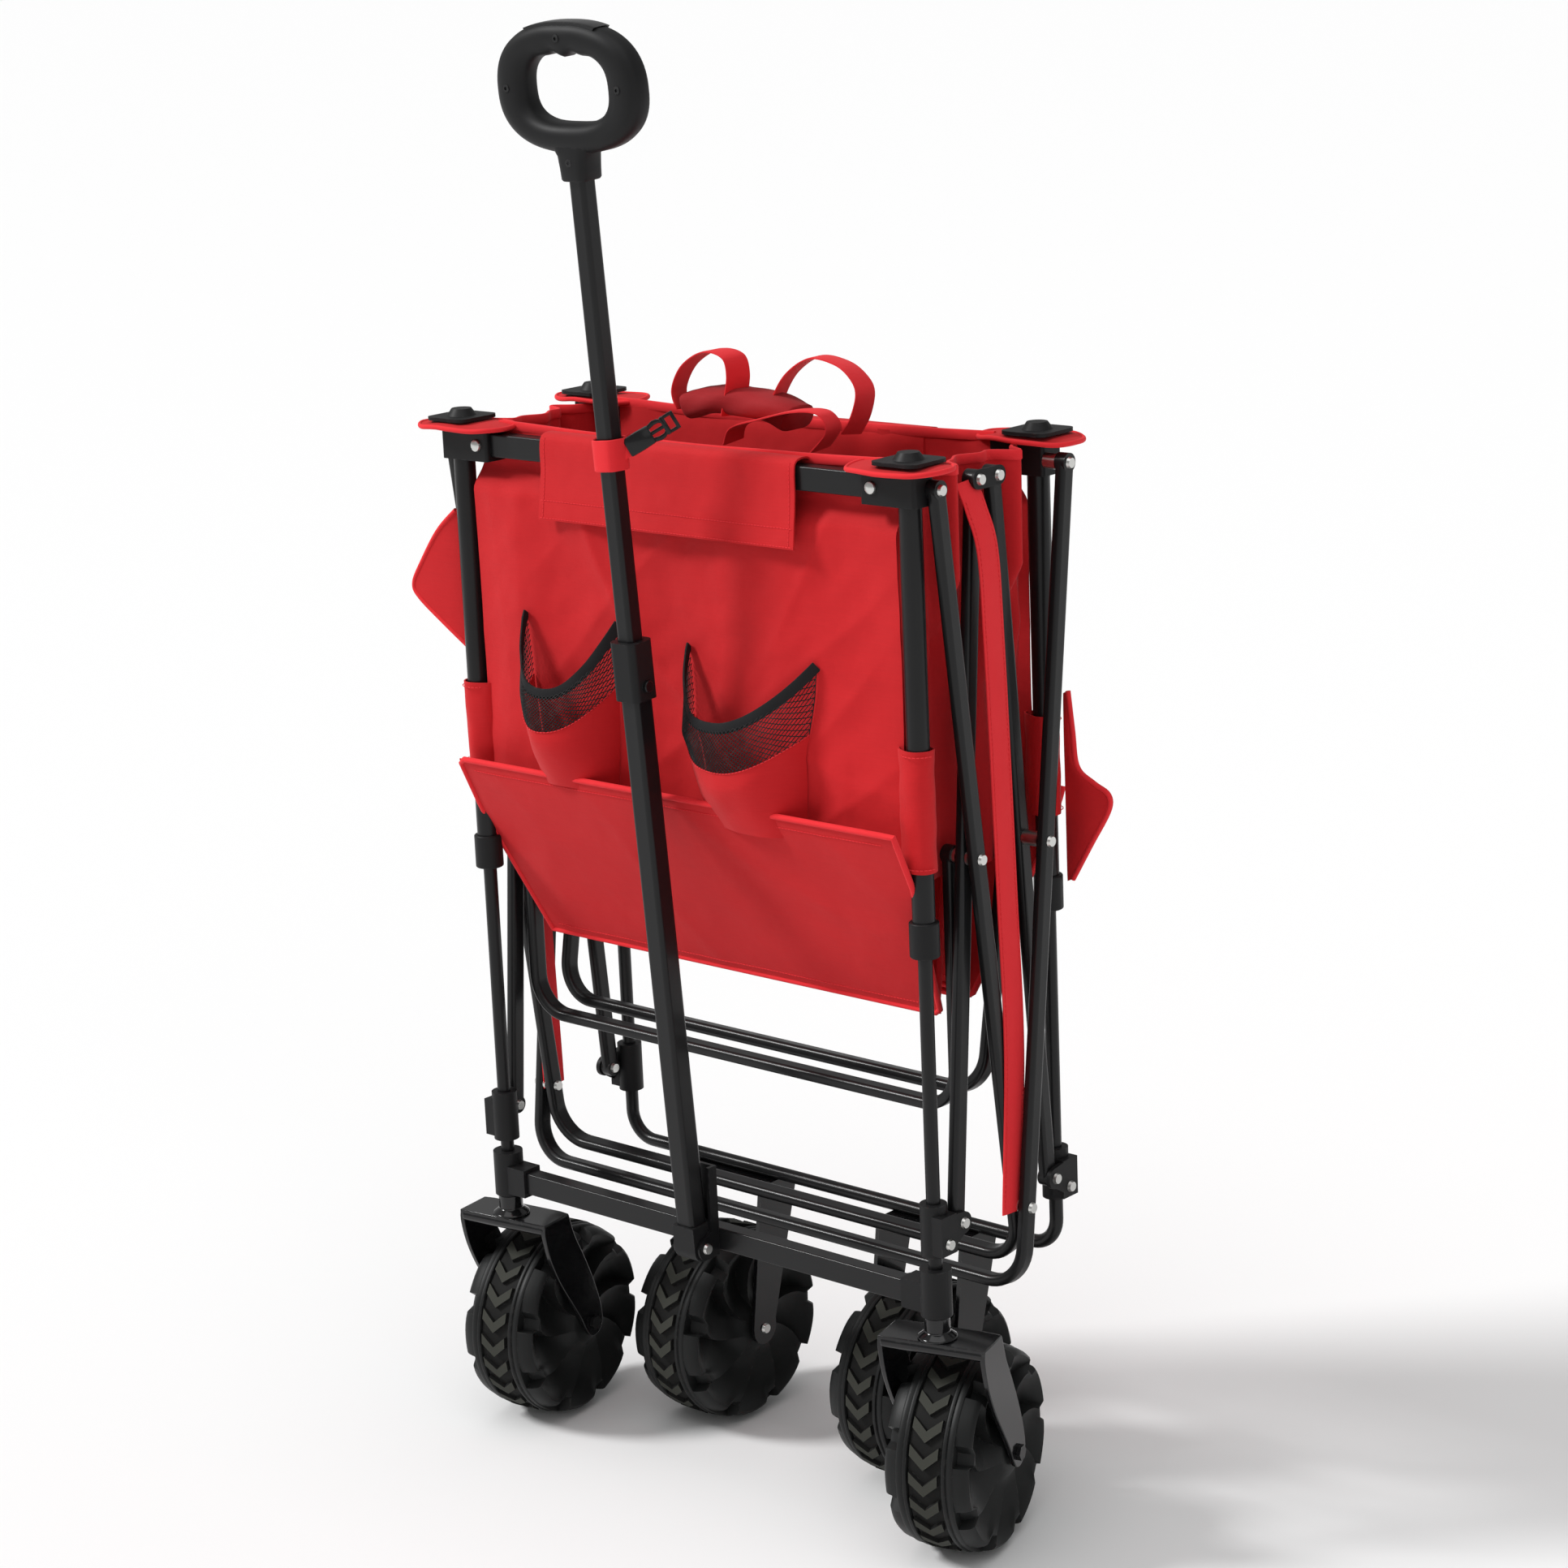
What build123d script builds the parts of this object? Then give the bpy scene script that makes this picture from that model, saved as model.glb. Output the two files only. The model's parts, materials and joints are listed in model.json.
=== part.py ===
"""Folding camp wagon, standing folded with its pull handle drawn out.

Millimetres. X is across the wagon, Y runs from the handle end (front) to the rear, Z is up.
Everything is drawn from the ground below the middle of the front posts, and moved at the end so
that the origin lies on the ground under the middle of the whole wagon.
"""

import math
import os

from build123d import *

os.makedirs("parts", exist_ok=True)

# ---- driving dimensions of the frame -------------------------------------------------------
HALF_WIDTH = 250.0  # centre line of a post from the middle
DEPTH = 166.0  # front posts to rear posts, folded
WHEEL_R = 90.0
FORK_RISE = 27.0  # top of a caster fork above its wheel
LOW_BAR_RISE = 36.0  # middle of the low crossbar above the caster forks
FORK_TOP_Z = 2 * WHEEL_R + FORK_RISE
LOW_BAR_Z = FORK_TOP_Z + LOW_BAR_RISE
LOW_PIVOT_Z = LOW_BAR_Z + 62.0  # scissor bars turn on the sliders here
TOP_PIVOT_Z = 920.0  # bows hang from the top corners here
TOP_PIVOT_Y = 8.0  # set back of the top pivots from their posts
LOW_PIVOT_Y = 20.0  # set back of the low pivots from their posts
CROSS_SHARE = 0.5  # the crossing is half way along each bow

FIT = 0.05  # radial clearance of a pin in its hole
GAP = 0.3  # clearance between pieces that move past each other
SEAT = 0.1  # clearance of a piece seated in a socket

# ---- tubes ----------------------------------------------------------------------------------
POST_R = 6.0  # lower post
POST_WALL = 1.2
UPPER_R = 9.5  # upper post that slides over the lower one
UPPER_WALL = 1.2
BAR_T = 10.0  # scissor bar across the wagon
BAR_W = 16.0  # scissor bar along the wagon
BAR_WALL = 1.4
BAR_ROUND = 4.0
LAYER = 13.0  # pitch of the scissor layers
LAYER_BARS = HALF_WIDTH + 7.0  # inner bars
LAYER_FRONT_BOW = LAYER_BARS + LAYER
LAYER_REAR_BOW = LAYER_FRONT_BOW + LAYER
LAYER_FLOOR_BOW = LAYER_BARS - LAYER - 1.0
PIN_R = 3.0
HEAD_R = 5.0
HEAD_T = 2.5
WASHER_R = 6.5
BEND_R = 34.0  # bend of a bow's lower corners
REAR_BEND_R = 26.0

# ---- corner fittings ------------------------------------------------------------------------
CROSSBAR_H = 20.0
CROSSBAR_D = 15.0
CROSSBAR_WALL = 1.5
TEE_LOW_Z = LOW_BAR_Z - 16.0
TEE_HIGH_Z = LOW_BAR_Z + 25.0
TEE_R = 13.5
SOCKET_L = 16.0
SOCKET_WALL = 3.0
STEM_R = 5.0
STEM_TOP_Z = LOW_BAR_Z + 3.0
POST_FOOT_Z = LOW_BAR_Z + 5.0
SLIDER_LOW_Z = LOW_PIVOT_Z - 25.0
SLIDER_HIGH_Z = LOW_PIVOT_Z + 20.0
SLIDER_R = POST_R + 5.5
LUG_T = 4.0
LUG_R = 9.5
COLLAR_R = UPPER_R + 3.0
COLLAR_DROP = 74.5  # collar's foot below the crossing
COLLAR_H = 30.0
COLLAR_LIP = 4.0
COLLAR_BORE_R = POST_R + 2.0
POST_IN_UPPER = 90.0  # length of lower post above the collar's foot
BRACKET_LOW_Z = TOP_PIVOT_Z - 13.0
BRACKET_HIGH_Z = TOP_PIVOT_Z + 18.0
BRACKET_X = 14.5
BRACKET_Y = 12.5
BRACKET_REACH = 41.0
CAP_SIZE = 46.0
CAP_T = 3.0
CAP_DOME_R = 13.0
CAP_DOME_H = 6.0

# ---- wheels ---------------------------------------------------------------------------------
WHEEL_W = 78.0
BAND_W = 30.0
BAND_T = 6.0
WHEEL_SHELL = 3.0
BOSS_R = 14.0
BOSS_W = WHEEL_W + 8.0
AXLE_R = 4.0
NOTCHES = 9
FORK_W = BOSS_W + 12.0
FORK_T = 4.0
FORK_D = 40.0
FORK_FRONT = 16.0
TRAIL = 50.0
TURN_LEFT = 7.6  # how far each caster is swung, degrees
TURN_RIGHT = 14.5
BOSS_LOW_R = 11.0
REAR_WHEEL_X = 117.0
REAR_WHEEL_SET = 28.0  # rear axles stand forward of the rear posts
REAR_BAR_Z = LOW_BAR_Z - 10.0
REAR_FORK_D = 50.0

# ---- handle ---------------------------------------------------------------------------------
HANDLE_Z = LOW_BAR_Z - 4.0
HANDLE_LEAN = 4.2
POLE = 20.0
POLE_WALL = 1.5
POLE_ROUND = 4.0
INNER_POLE = POLE - 3.4
INNER_WALL = 1.2
BOOT = POLE + 4.0
HANDLE_Y = -(CROSSBAR_D + BOOT) / 2 - 4.5
BOOT_HIGH = 22.0
COLLAR_S = 496.0
COLLAR_LEN = 50.0
COLLAR_SIZE = POLE + 7.0
COLLAR_ROUND = 6.0
POLE_IN_COLLAR = 34.0
INNER_FOOT_S = 440.0
NECK_S = 925.0
NECK_LEN = 26.0
GRIP_H = 100.0
GRIP_W = 155.0
GRIP_T = POLE + 8.0
GRIP_HOLE_W = 88.0
GRIP_HOLE_H = 52.0
GRIP_HOLE_UP = 19.0
BUTTON_R = 5.0
BUTTON_S = 508.0
BUTTON_LEN = 4.0
BUTTON_IN = COLLAR_SIZE / 2 - 0.7
EAR_T = 3.0
STRAP_S = 690.0
STRAP_H = 27.0
STRAP_T = 2.0

# ---- cloth ----------------------------------------------------------------------------------
CLOTH_T = 8.0
WALL_HALF = HALF_WIDTH - 18.0
WALL_RISE = 10.5  # end wall's foot above the crossing
WALL_HIGH_Z = TOP_PIVOT_Z - 16.0
SIDE_X = HALF_WIDTH - 24.0
SIDE_T = 9.0
SIDE_Y = 14.0
SIDE_LEN = DEPTH - 68.0
SIDE_DROP = 35.5  # side wall's foot below the crossing
PANEL_HALF = LAYER_FLOOR_BOW - 25.0
PANEL_T = 4.0
HINGE_SET = 6.5  # floor fold behind the crossing
HINGE_DROP = 145.5  # floor fold below the crossing
OUTER_PANEL = 194.0
OUTER_TURN = 64.8
INNER_PANEL = 176.0
INNER_TURN = 83.0
REAR_OUTER_TURN = 57.3
REAR_INNER_TURN = 90.0
PANEL_GAP = 9.0
BOW_DROP = 219.5  # floor bow's bar below the crossing
REAR_BOW_SWING = 40.0  # the rear floor bow hangs this far forward of its crossing

# ---- the scissor, worked out from the above --------------------------------------------------
MID_Y = DEPTH / 2
LOW_MID_Z = LOW_PIVOT_Z - 2.0  # the bows' common pivot
CROSS_Y = TOP_PIVOT_Y + (MID_Y - TOP_PIVOT_Y) * CROSS_SHARE
CROSS_Z = TOP_PIVOT_Z + (LOW_MID_Z - TOP_PIVOT_Z) * CROSS_SHARE
COLLAR_LOW_Z = CROSS_Z - COLLAR_DROP
COLLAR_HIGH_Z = COLLAR_LOW_Z + COLLAR_H
WALL_LOW_Z = CROSS_Z + WALL_RISE
SIDE_LOW_Z = CROSS_Z - SIDE_DROP
BAR_TOP_Y = 2 * CROSS_Y - LOW_PIVOT_Y
BAR_TOP_Z = 2 * CROSS_Z - LOW_PIVOT_Z
FRONT_TAIL = 52.0  # bow below the common pivot
REAR_TAIL = 70.0


def rear(y):
    """The same place counted from the rear posts."""
    return DEPTH - y


finished = {}


def keep(piece, name):
    """Holds a finished piece until the whole wagon is there to be centred."""
    finished[name] = piece.part


def side_plane(x, y=0.0, z=0.0):
    """A plane that faces +X, with its own x along Y and its y along Z."""
    return Plane(origin=(x, y, z), x_dir=(0, 1, 0), z_dir=(1, 0, 0))


def disc_x(x_from, x_to, y, z, radius, mode=Mode.ADD, taper=0):
    """A round disc or shank along X, added to the piece being made or cut from it."""
    with BuildSketch(side_plane(x_from, y, z)) as circle:
        Circle(radius)
    extrude(circle.sketch, amount=x_to - x_from, taper=taper, mode=mode)


def pin(x_from, x_to, y, z, radius=PIN_R, heads=(True, True)):
    """A shank along X with a domed head on each chosen end."""
    disc_x(x_from, x_to, y, z, radius)
    if heads[0]:
        disc_x(x_from, x_from - HEAD_T, y, z, HEAD_R, taper=20)
    if heads[1]:
        disc_x(x_to, x_to + HEAD_T, y, z, HEAD_R, taper=20)


def washer(x_from, x_to, y, z):
    """A spacer ring between two layers, fused to its pin."""
    disc_x(x_from, x_to, y, z, WASHER_R)


def hole_x(x_from, x_to, y, z, radius):
    """A round hole along X."""
    disc_x(x_from, x_to, y, z, radius, mode=Mode.SUBTRACT)


def bow(name, layer, top, foot, bend):
    """A U of bar: two legs from the top points down to the foot, joined across."""
    along = Vector(0, foot[0] - top[0], foot[1] - top[1]).normalized()
    with BuildPart() as made:
        with BuildLine() as path:
            FilletPolyline(
                (-layer, *top), (-layer, *foot), (layer, *foot), (layer, *top), radius=bend
            )
        start = Plane(origin=(-layer, *top), x_dir=(1, 0, 0), z_dir=tuple(along))
        with BuildSketch(start):
            RectangleRounded(BAR_T, BAR_W, BAR_ROUND)
            RectangleRounded(
                BAR_T - 2 * BAR_WALL, BAR_W - 2 * BAR_WALL, BAR_ROUND - BAR_WALL, mode=Mode.SUBTRACT
            )
        sweep(path=path.line)
        for side in (-1, 1):
            with BuildSketch(side_plane(side * layer - BAR_T / 2, *top)):
                Circle(BAR_W / 2)
            extrude(amount=BAR_T)
        for y, z in bow_holes[name]:
            for side in (-1, 1):
                hole_x(side * layer - LAYER, side * layer + LAYER, y, z, PIN_R + FIT)
    return made


# ---- the fixed front: crossbar, tees, posts, sliders ----------------------------------------
with BuildPart() as front_lower_crossbar:
    reach = HALF_WIDTH - TEE_R
    with BuildSketch(side_plane(-reach, 0, LOW_BAR_Z)):
        RectangleRounded(CROSSBAR_D, CROSSBAR_H, CROSSBAR_WALL)
        Rectangle(
            CROSSBAR_D - 2 * CROSSBAR_WALL, CROSSBAR_H - 2 * CROSSBAR_WALL, mode=Mode.SUBTRACT
        )
    extrude(amount=2 * reach)
keep(front_lower_crossbar, "front_lower_crossbar")

with BuildPart() as front_tees:
    with BuildSketch(Plane.XY.offset(TEE_LOW_Z)):
        with Locations((HALF_WIDTH, 0)):
            Circle(TEE_R)
    extrude(amount=TEE_HIGH_Z - TEE_LOW_Z)
    with BuildSketch(side_plane(HALF_WIDTH, 0, LOW_BAR_Z)):
        Rectangle(CROSSBAR_D + 2 * SOCKET_WALL, CROSSBAR_H + 2 * SOCKET_WALL)
    extrude(amount=-(TEE_R + SOCKET_L))
    with BuildSketch(side_plane(HALF_WIDTH - TEE_R + SEAT, 0, LOW_BAR_Z)):
        Rectangle(CROSSBAR_D + 2 * SEAT, CROSSBAR_H + 2 * SEAT)
    extrude(amount=-(SOCKET_L + 1), mode=Mode.SUBTRACT)
    with BuildSketch(Plane.XY.offset(POST_FOOT_Z - SEAT)):
        with Locations((HALF_WIDTH, 0)):
            Circle(POST_R + SEAT)
    extrude(amount=TEE_HIGH_Z, mode=Mode.SUBTRACT)
    with BuildSketch(Plane.XY.offset(TEE_LOW_Z)):
        with Locations((HALF_WIDTH, 0)):
            Circle(STEM_R + FIT)
    extrude(amount=POST_FOOT_Z - TEE_LOW_Z, mode=Mode.SUBTRACT)
    mirror(about=Plane.YZ)
keep(front_tees, "front_tees")

with BuildPart() as front_lower_posts:
    with BuildSketch(Plane.XY.offset(POST_FOOT_Z)):
        with Locations((HALF_WIDTH, 0), (-HALF_WIDTH, 0)):
            Circle(POST_R)
            Circle(POST_R - POST_WALL, mode=Mode.SUBTRACT)
    extrude(amount=COLLAR_LOW_Z + POST_IN_UPPER - POST_FOOT_Z)
keep(front_lower_posts, "front_lower_posts")


def sliders(post_y, inward):
    """The pair of blocks on the lower posts that carry the low pivots."""
    lug_y = post_y + inward * LOW_PIVOT_Y
    face = LAYER_BARS + BAR_T / 2 + GAP
    with BuildPart() as made:
        with BuildSketch(Plane.XY.offset(SLIDER_LOW_Z)):
            with Locations((HALF_WIDTH, post_y)):
                Circle(SLIDER_R)
        extrude(amount=SLIDER_HIGH_Z - SLIDER_LOW_Z)
        low, high = SLIDER_LOW_Z + 3, SLIDER_HIGH_Z - 8
        with BuildSketch(Plane.XY.offset(low)):
            with Locations((HALF_WIDTH + (face + LUG_T - HALF_WIDTH) / 2, post_y)):
                Rectangle(face + LUG_T - HALF_WIDTH, 2 * (SLIDER_R - 1.5))
        extrude(amount=high - low)
        with BuildSketch(side_plane(face)):
            with BuildLine():
                Polyline(
                    (post_y, low), (lug_y, LOW_PIVOT_Z - LUG_R), (lug_y, LOW_PIVOT_Z + LUG_R),
                    (post_y, high), close=True,
                )
            make_face()
            with Locations((lug_y, LOW_PIVOT_Z)):
                Circle(LUG_R)
        extrude(amount=LUG_T)
        hole_x(HALF_WIDTH, face + LAYER, lug_y, LOW_PIVOT_Z, PIN_R + FIT)
        with BuildSketch(Plane.XY):
            with Locations((HALF_WIDTH, post_y)):
                Circle(POST_R + SEAT)
        extrude(amount=SLIDER_HIGH_Z, mode=Mode.SUBTRACT)
        rivet_z = SLIDER_LOW_Z + 12
        hole_x(HALF_WIDTH + POST_R, face + LAYER, post_y, rivet_z, PIN_R + SEAT)
        mirror(about=Plane.YZ)
    return made


def slider_rivets(post_y):
    """The rivets that hold the sliders to their posts."""
    pin(
        HALF_WIDTH + POST_R + SEAT, LAYER_BARS + BAR_T / 2 + GAP + LUG_T + SEAT, post_y,
        SLIDER_LOW_Z + 12, heads=(False, True),
    )


keep(sliders(0, 1), "front_sliders")

with BuildPart() as handle_bracket:
    back = -CROSSBAR_D / 2 - SEAT
    half = BOOT / 2 + GAP
    with BuildSketch(Plane.XY.offset(LOW_BAR_Z - CROSSBAR_H / 2)):
        with Locations((0, back - EAR_T / 2)):
            Rectangle(2 * (half + EAR_T), EAR_T)
        with Locations((half + EAR_T / 2, back - 5), (-half - EAR_T / 2, back - 5)):
            Rectangle(EAR_T, 10)
    extrude(amount=78)
    with BuildSketch(side_plane(-half - EAR_T)):
        with BuildLine():
            Polyline(
                (back, HANDLE_Z - 10), (HANDLE_Y, HANDLE_Z - 10), (HANDLE_Y, HANDLE_Z + 10),
                (back, HANDLE_Z + 22), close=True,
            )
        make_face()
        with Locations((HANDLE_Y, HANDLE_Z)):
            Circle(10)
    extrude(amount=EAR_T)
    with BuildSketch(side_plane(half)):
        with BuildLine():
            Polyline(
                (back, HANDLE_Z - 10), (HANDLE_Y, HANDLE_Z - 10), (HANDLE_Y, HANDLE_Z + 10),
                (back, HANDLE_Z + 22), close=True,
            )
        make_face()
        with Locations((HANDLE_Y, HANDLE_Z)):
            Circle(10)
    extrude(amount=EAR_T)
    hole_x(-LAYER * 2, LAYER * 2, HANDLE_Y, HANDLE_Z, PIN_R + FIT)
keep(handle_bracket, "handle_bracket")

with BuildPart() as front_lower_rivets:
    slider_rivets(0)
    mirror(about=Plane.YZ)
    reach = BOOT / 2 + GAP + EAR_T + SEAT
    pin(-reach, reach, HANDLE_Y, HANDLE_Z)
keep(front_lower_rivets, "front_lower_rivets")

# ---- the fixed rear: bent tube, sliders, forks, axles ---------------------------------------
with BuildPart() as rear_lower_tube:
    top_z = COLLAR_LOW_Z + POST_IN_UPPER
    with BuildLine() as path:
        FilletPolyline(
            (-HALF_WIDTH, DEPTH, top_z), (-HALF_WIDTH, DEPTH, REAR_BAR_Z),
            (HALF_WIDTH, DEPTH, REAR_BAR_Z), (HALF_WIDTH, DEPTH, top_z), radius=REAR_BEND_R,
        )
    with BuildSketch(Plane(origin=(-HALF_WIDTH, DEPTH, top_z), z_dir=(0, 0, -1))):
        Circle(POST_R)
        Circle(POST_R - POST_WALL, mode=Mode.SUBTRACT)
    sweep(path=path.line)
keep(rear_lower_tube, "rear_lower_tube")

keep(sliders(DEPTH, -1), "rear_sliders")

REAR_AXLE_Y = DEPTH - REAR_WHEEL_SET
REAR_FORK_TOP = REAR_BAR_Z - POST_R
with BuildPart() as rear_forks:
    for x in (-REAR_WHEEL_X, REAR_WHEEL_X):
        with BuildSketch(Plane.XY.offset(REAR_FORK_TOP - FORK_T)):
            with Locations((x, DEPTH)):
                Rectangle(FORK_W, REAR_FORK_D)
        extrude(amount=FORK_T)
        for side in (x - FORK_W / 2, x + FORK_W / 2 - FORK_T):
            with BuildSketch(side_plane(side)):
                with BuildLine():
                    Polyline(
                        (rear(-REAR_FORK_D / 2), REAR_FORK_TOP),
                        (rear(REAR_FORK_D / 2), REAR_FORK_TOP),
                        (REAR_AXLE_Y - 15, WHEEL_R + 4), (REAR_AXLE_Y - 15, WHEEL_R),
                        (REAR_AXLE_Y + 15, WHEEL_R), (REAR_AXLE_Y + 15, WHEEL_R + 6), close=True,
                    )
                make_face()
                with Locations((REAR_AXLE_Y, WHEEL_R)):
                    Circle(15)
            extrude(amount=FORK_T)
    hole_x(-HALF_WIDTH, HALF_WIDTH, REAR_AXLE_Y, WHEEL_R, AXLE_R + SEAT)
keep(rear_forks, "rear_forks")

with BuildPart() as rear_bolts:
    for x in (-REAR_WHEEL_X, REAR_WHEEL_X):
        pin(x - FORK_W / 2 - SEAT, x + FORK_W / 2 + SEAT, REAR_AXLE_Y, WHEEL_R, radius=AXLE_R)
    slider_rivets(DEPTH)
    mirror(objects=solids().sort_by(Axis.X)[-1], about=Plane.YZ)
keep(rear_bolts, "rear_bolts")

# ---- casters and wheels -----------------------------------------------------------------------


def placed(frame, plane):
    """A plane given in a caster's own frame, set where the caster stands."""
    return Plane(frame * plane.location)


def wheel(frame, name):
    """A blown wheel: a hollow body with notched rims and a rubber band round its middle."""
    half, boss = WHEEL_W / 2, BOSS_W / 2
    rim, seat = WHEEL_R - 2, WHEEL_R - BAND_T
    axis = placed(frame, Plane.XY.offset(WHEEL_R))
    turn = Axis(axis.origin, axis.x_dir)
    outline = [
        (-boss, AXLE_R + FIT), (-boss, BOSS_R), (-half + 6, BOSS_R + 6), (-half + 4, rim - 14),
        (-half, rim - 6), (-half + 2, rim), (-BAND_W / 2, rim), (-BAND_W / 2, seat),
    ]
    inner = [
        (-boss + 8, BOSS_R - 4), (-half + 6 + WHEEL_SHELL, BOSS_R + 8),
        (-half + 4 + WHEEL_SHELL, rim - 16), (-BAND_W / 2 - WHEEL_SHELL, seat - WHEEL_SHELL),
    ]
    with BuildPart() as hub:
        with BuildSketch(axis):
            with BuildLine():
                Polyline(*outline, *[(-x, r) for x, r in reversed(outline)], close=True)
            make_face()
            with BuildLine():
                Polyline(*inner, *[(-x, r) for x, r in reversed(inner)], close=True)
            make_face(mode=Mode.SUBTRACT)
        revolve(axis=turn)
        for side in (-1, 1):
            face = placed(frame, side_plane(side * (half - 5), 0, WHEEL_R))
            with BuildSketch(face):
                with PolarLocations(rim, NOTCHES):
                    Rectangle(9, 16)
            extrude(amount=side * LAYER, mode=Mode.SUBTRACT)
        with BuildSketch(placed(frame, side_plane(-boss, 0, WHEEL_R))):
            with Locations((BOSS_R + 22, 0)):
                Circle(2.5)
        extrude(amount=boss, mode=Mode.SUBTRACT)
    keep(hub, f"hub_{name}")
    with BuildPart() as tyre:
        with BuildSketch(axis):
            with Locations((0, WHEEL_R - (BAND_T - SEAT) / 2)):
                RectangleRounded(BAND_W - 2 * SEAT, BAND_T - SEAT, 1.5)
        revolve(axis=turn)
    keep(tyre, f"tyre_{name}")


def caster(x, turn, name):
    """A swivelling fork with its stem and axle, and the wheel that trails behind it."""
    frame = Location((x, 0, 0), (0, 0, turn))
    axle = Location((x, 0, 0), (0, 0, turn)) * Location((0, TRAIL, 0))
    with BuildPart() as fork:
        with BuildSketch(placed(frame, Plane.XY.offset(FORK_TOP_Z - FORK_T))):
            with Locations((0, FORK_D / 2 - FORK_FRONT)):
                RectangleRounded(FORK_W, FORK_D, 3)
        extrude(amount=FORK_T)
        with BuildSketch(placed(frame, Plane.XY.offset(FORK_TOP_Z))):
            Circle(BOSS_LOW_R)
        extrude(amount=TEE_LOW_Z - FORK_TOP_Z - 1)
        for side in (-FORK_W / 2, FORK_W / 2 - FORK_T):
            with BuildSketch(placed(frame, side_plane(side))):
                with BuildLine():
                    front_top = (-FORK_FRONT + 2, FORK_TOP_Z - 1)
                    rear_top = (FORK_D - FORK_FRONT - 3, FORK_TOP_Z - 1)
                    Line(front_top, rear_top)
                    ThreePointArc(rear_top, (TRAIL - 6, 150), (TRAIL + 13, WHEEL_R + 4))
                    ThreePointArc(
                        (TRAIL + 13, WHEEL_R + 4), (TRAIL + 2, WHEEL_R - 15), (TRAIL - 12, WHEEL_R - 7)
                    )
                    ThreePointArc((TRAIL - 12, WHEEL_R - 7), (8, 138), front_top)
                make_face()
            extrude(amount=FORK_T)
        with BuildSketch(placed(frame, Plane.XY.offset(FORK_TOP_Z - FORK_T - 1))):
            Circle(STEM_R + SEAT)
        extrude(amount=LAYER * 2, mode=Mode.SUBTRACT)
        with BuildSketch(placed(axle, side_plane(-FORK_W, 0, WHEEL_R))):
            Circle(AXLE_R + SEAT)
        extrude(amount=2 * FORK_W, mode=Mode.SUBTRACT)
    keep(fork, f"caster_fork_{name}")
    with BuildPart() as bolts:
        with BuildSketch(placed(frame, Plane.XY.offset(FORK_TOP_Z - FORK_T - SEAT))):
            Circle(STEM_R)
        extrude(amount=STEM_TOP_Z - FORK_TOP_Z + FORK_T)
        with BuildSketch(placed(frame, Plane.XY.offset(FORK_TOP_Z - FORK_T - SEAT))):
            Circle(STEM_R + 4)
        extrude(amount=-HEAD_T)
        reach = FORK_W / 2 + SEAT
        with BuildSketch(placed(axle, side_plane(-reach, 0, WHEEL_R))):
            Circle(AXLE_R)
        extrude(amount=2 * reach)
        for side in (-1, 1):
            with BuildSketch(placed(axle, side_plane(side * reach, 0, WHEEL_R))):
                RegularPolygon(AXLE_R + 3, 6)
            extrude(amount=side * (HEAD_T + 1))
    keep(bolts, f"caster_bolts_{name}")
    wheel(axle, f"front_{name}")


caster(-HALF_WIDTH, TURN_LEFT, "left")
caster(HALF_WIDTH, TURN_RIGHT, "right")
wheel(Location((-REAR_WHEEL_X, REAR_AXLE_Y, 0)), "rear_left")
wheel(Location((REAR_WHEEL_X, REAR_AXLE_Y, 0)), "rear_right")

# ---- scissor: two bows outside, two pairs of bars inside --------------------------------------


def beyond(top, through, tail):
    """The point that lies tail past through, on the line from top."""
    run = math.dist(top, through)
    share = (run + tail) / run
    return tuple(a + (b - a) * share for a, b in zip(top, through))


FRONT_TOP = (TOP_PIVOT_Y, TOP_PIVOT_Z)
REAR_TOP = (rear(TOP_PIVOT_Y), TOP_PIVOT_Z)
LOW_MID = (MID_Y, LOW_MID_Z)
FRONT_CROSS = (CROSS_Y, CROSS_Z)
REAR_CROSS = (rear(CROSS_Y), CROSS_Z)
bow_holes = {
    "bow_front": (FRONT_TOP, FRONT_CROSS, LOW_MID),
    "bow_rear": (REAR_TOP, REAR_CROSS, LOW_MID),
}
keep(
    bow("bow_front", LAYER_FRONT_BOW, FRONT_TOP, beyond(FRONT_TOP, LOW_MID, FRONT_TAIL), BEND_R),
    "bow_front",
)
keep(
    bow("bow_rear", LAYER_REAR_BOW, REAR_TOP, beyond(REAR_TOP, LOW_MID, REAR_TAIL), BEND_R),
    "bow_rear",
)


def bars(foot, cross, top):
    """The pair of straight inner bars, one on each side, pierced at both ends and the middle."""
    along = Vector(0, top[0] - foot[0], top[1] - foot[1])
    with BuildPart() as made:
        start = Plane(origin=(LAYER_BARS, *foot), x_dir=(1, 0, 0), z_dir=tuple(along.normalized()))
        with BuildSketch(start):
            RectangleRounded(BAR_T, BAR_W, BAR_ROUND)
            RectangleRounded(
                BAR_T - 2 * BAR_WALL, BAR_W - 2 * BAR_WALL, BAR_ROUND - BAR_WALL, mode=Mode.SUBTRACT
            )
        extrude(amount=along.length)
        for end in (foot, top):
            with BuildSketch(side_plane(LAYER_BARS - BAR_T / 2, *end)):
                Circle(BAR_W / 2)
            extrude(amount=BAR_T)
        for y, z in (foot, cross, top):
            hole_x(LAYER_BARS - LAYER, LAYER_BARS + LAYER, y, z, PIN_R + FIT)
        mirror(about=Plane.YZ)
    return made


FRONT_FOOT = (LOW_PIVOT_Y, LOW_PIVOT_Z)
REAR_FOOT = (rear(LOW_PIVOT_Y), LOW_PIVOT_Z)
FRONT_BAR_TOP = (BAR_TOP_Y, BAR_TOP_Z)
REAR_BAR_TOP = (rear(BAR_TOP_Y), BAR_TOP_Z)
keep(bars(FRONT_FOOT, FRONT_CROSS, FRONT_BAR_TOP), "bars_front")
keep(bars(REAR_FOOT, REAR_CROSS, REAR_BAR_TOP), "bars_rear")

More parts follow.
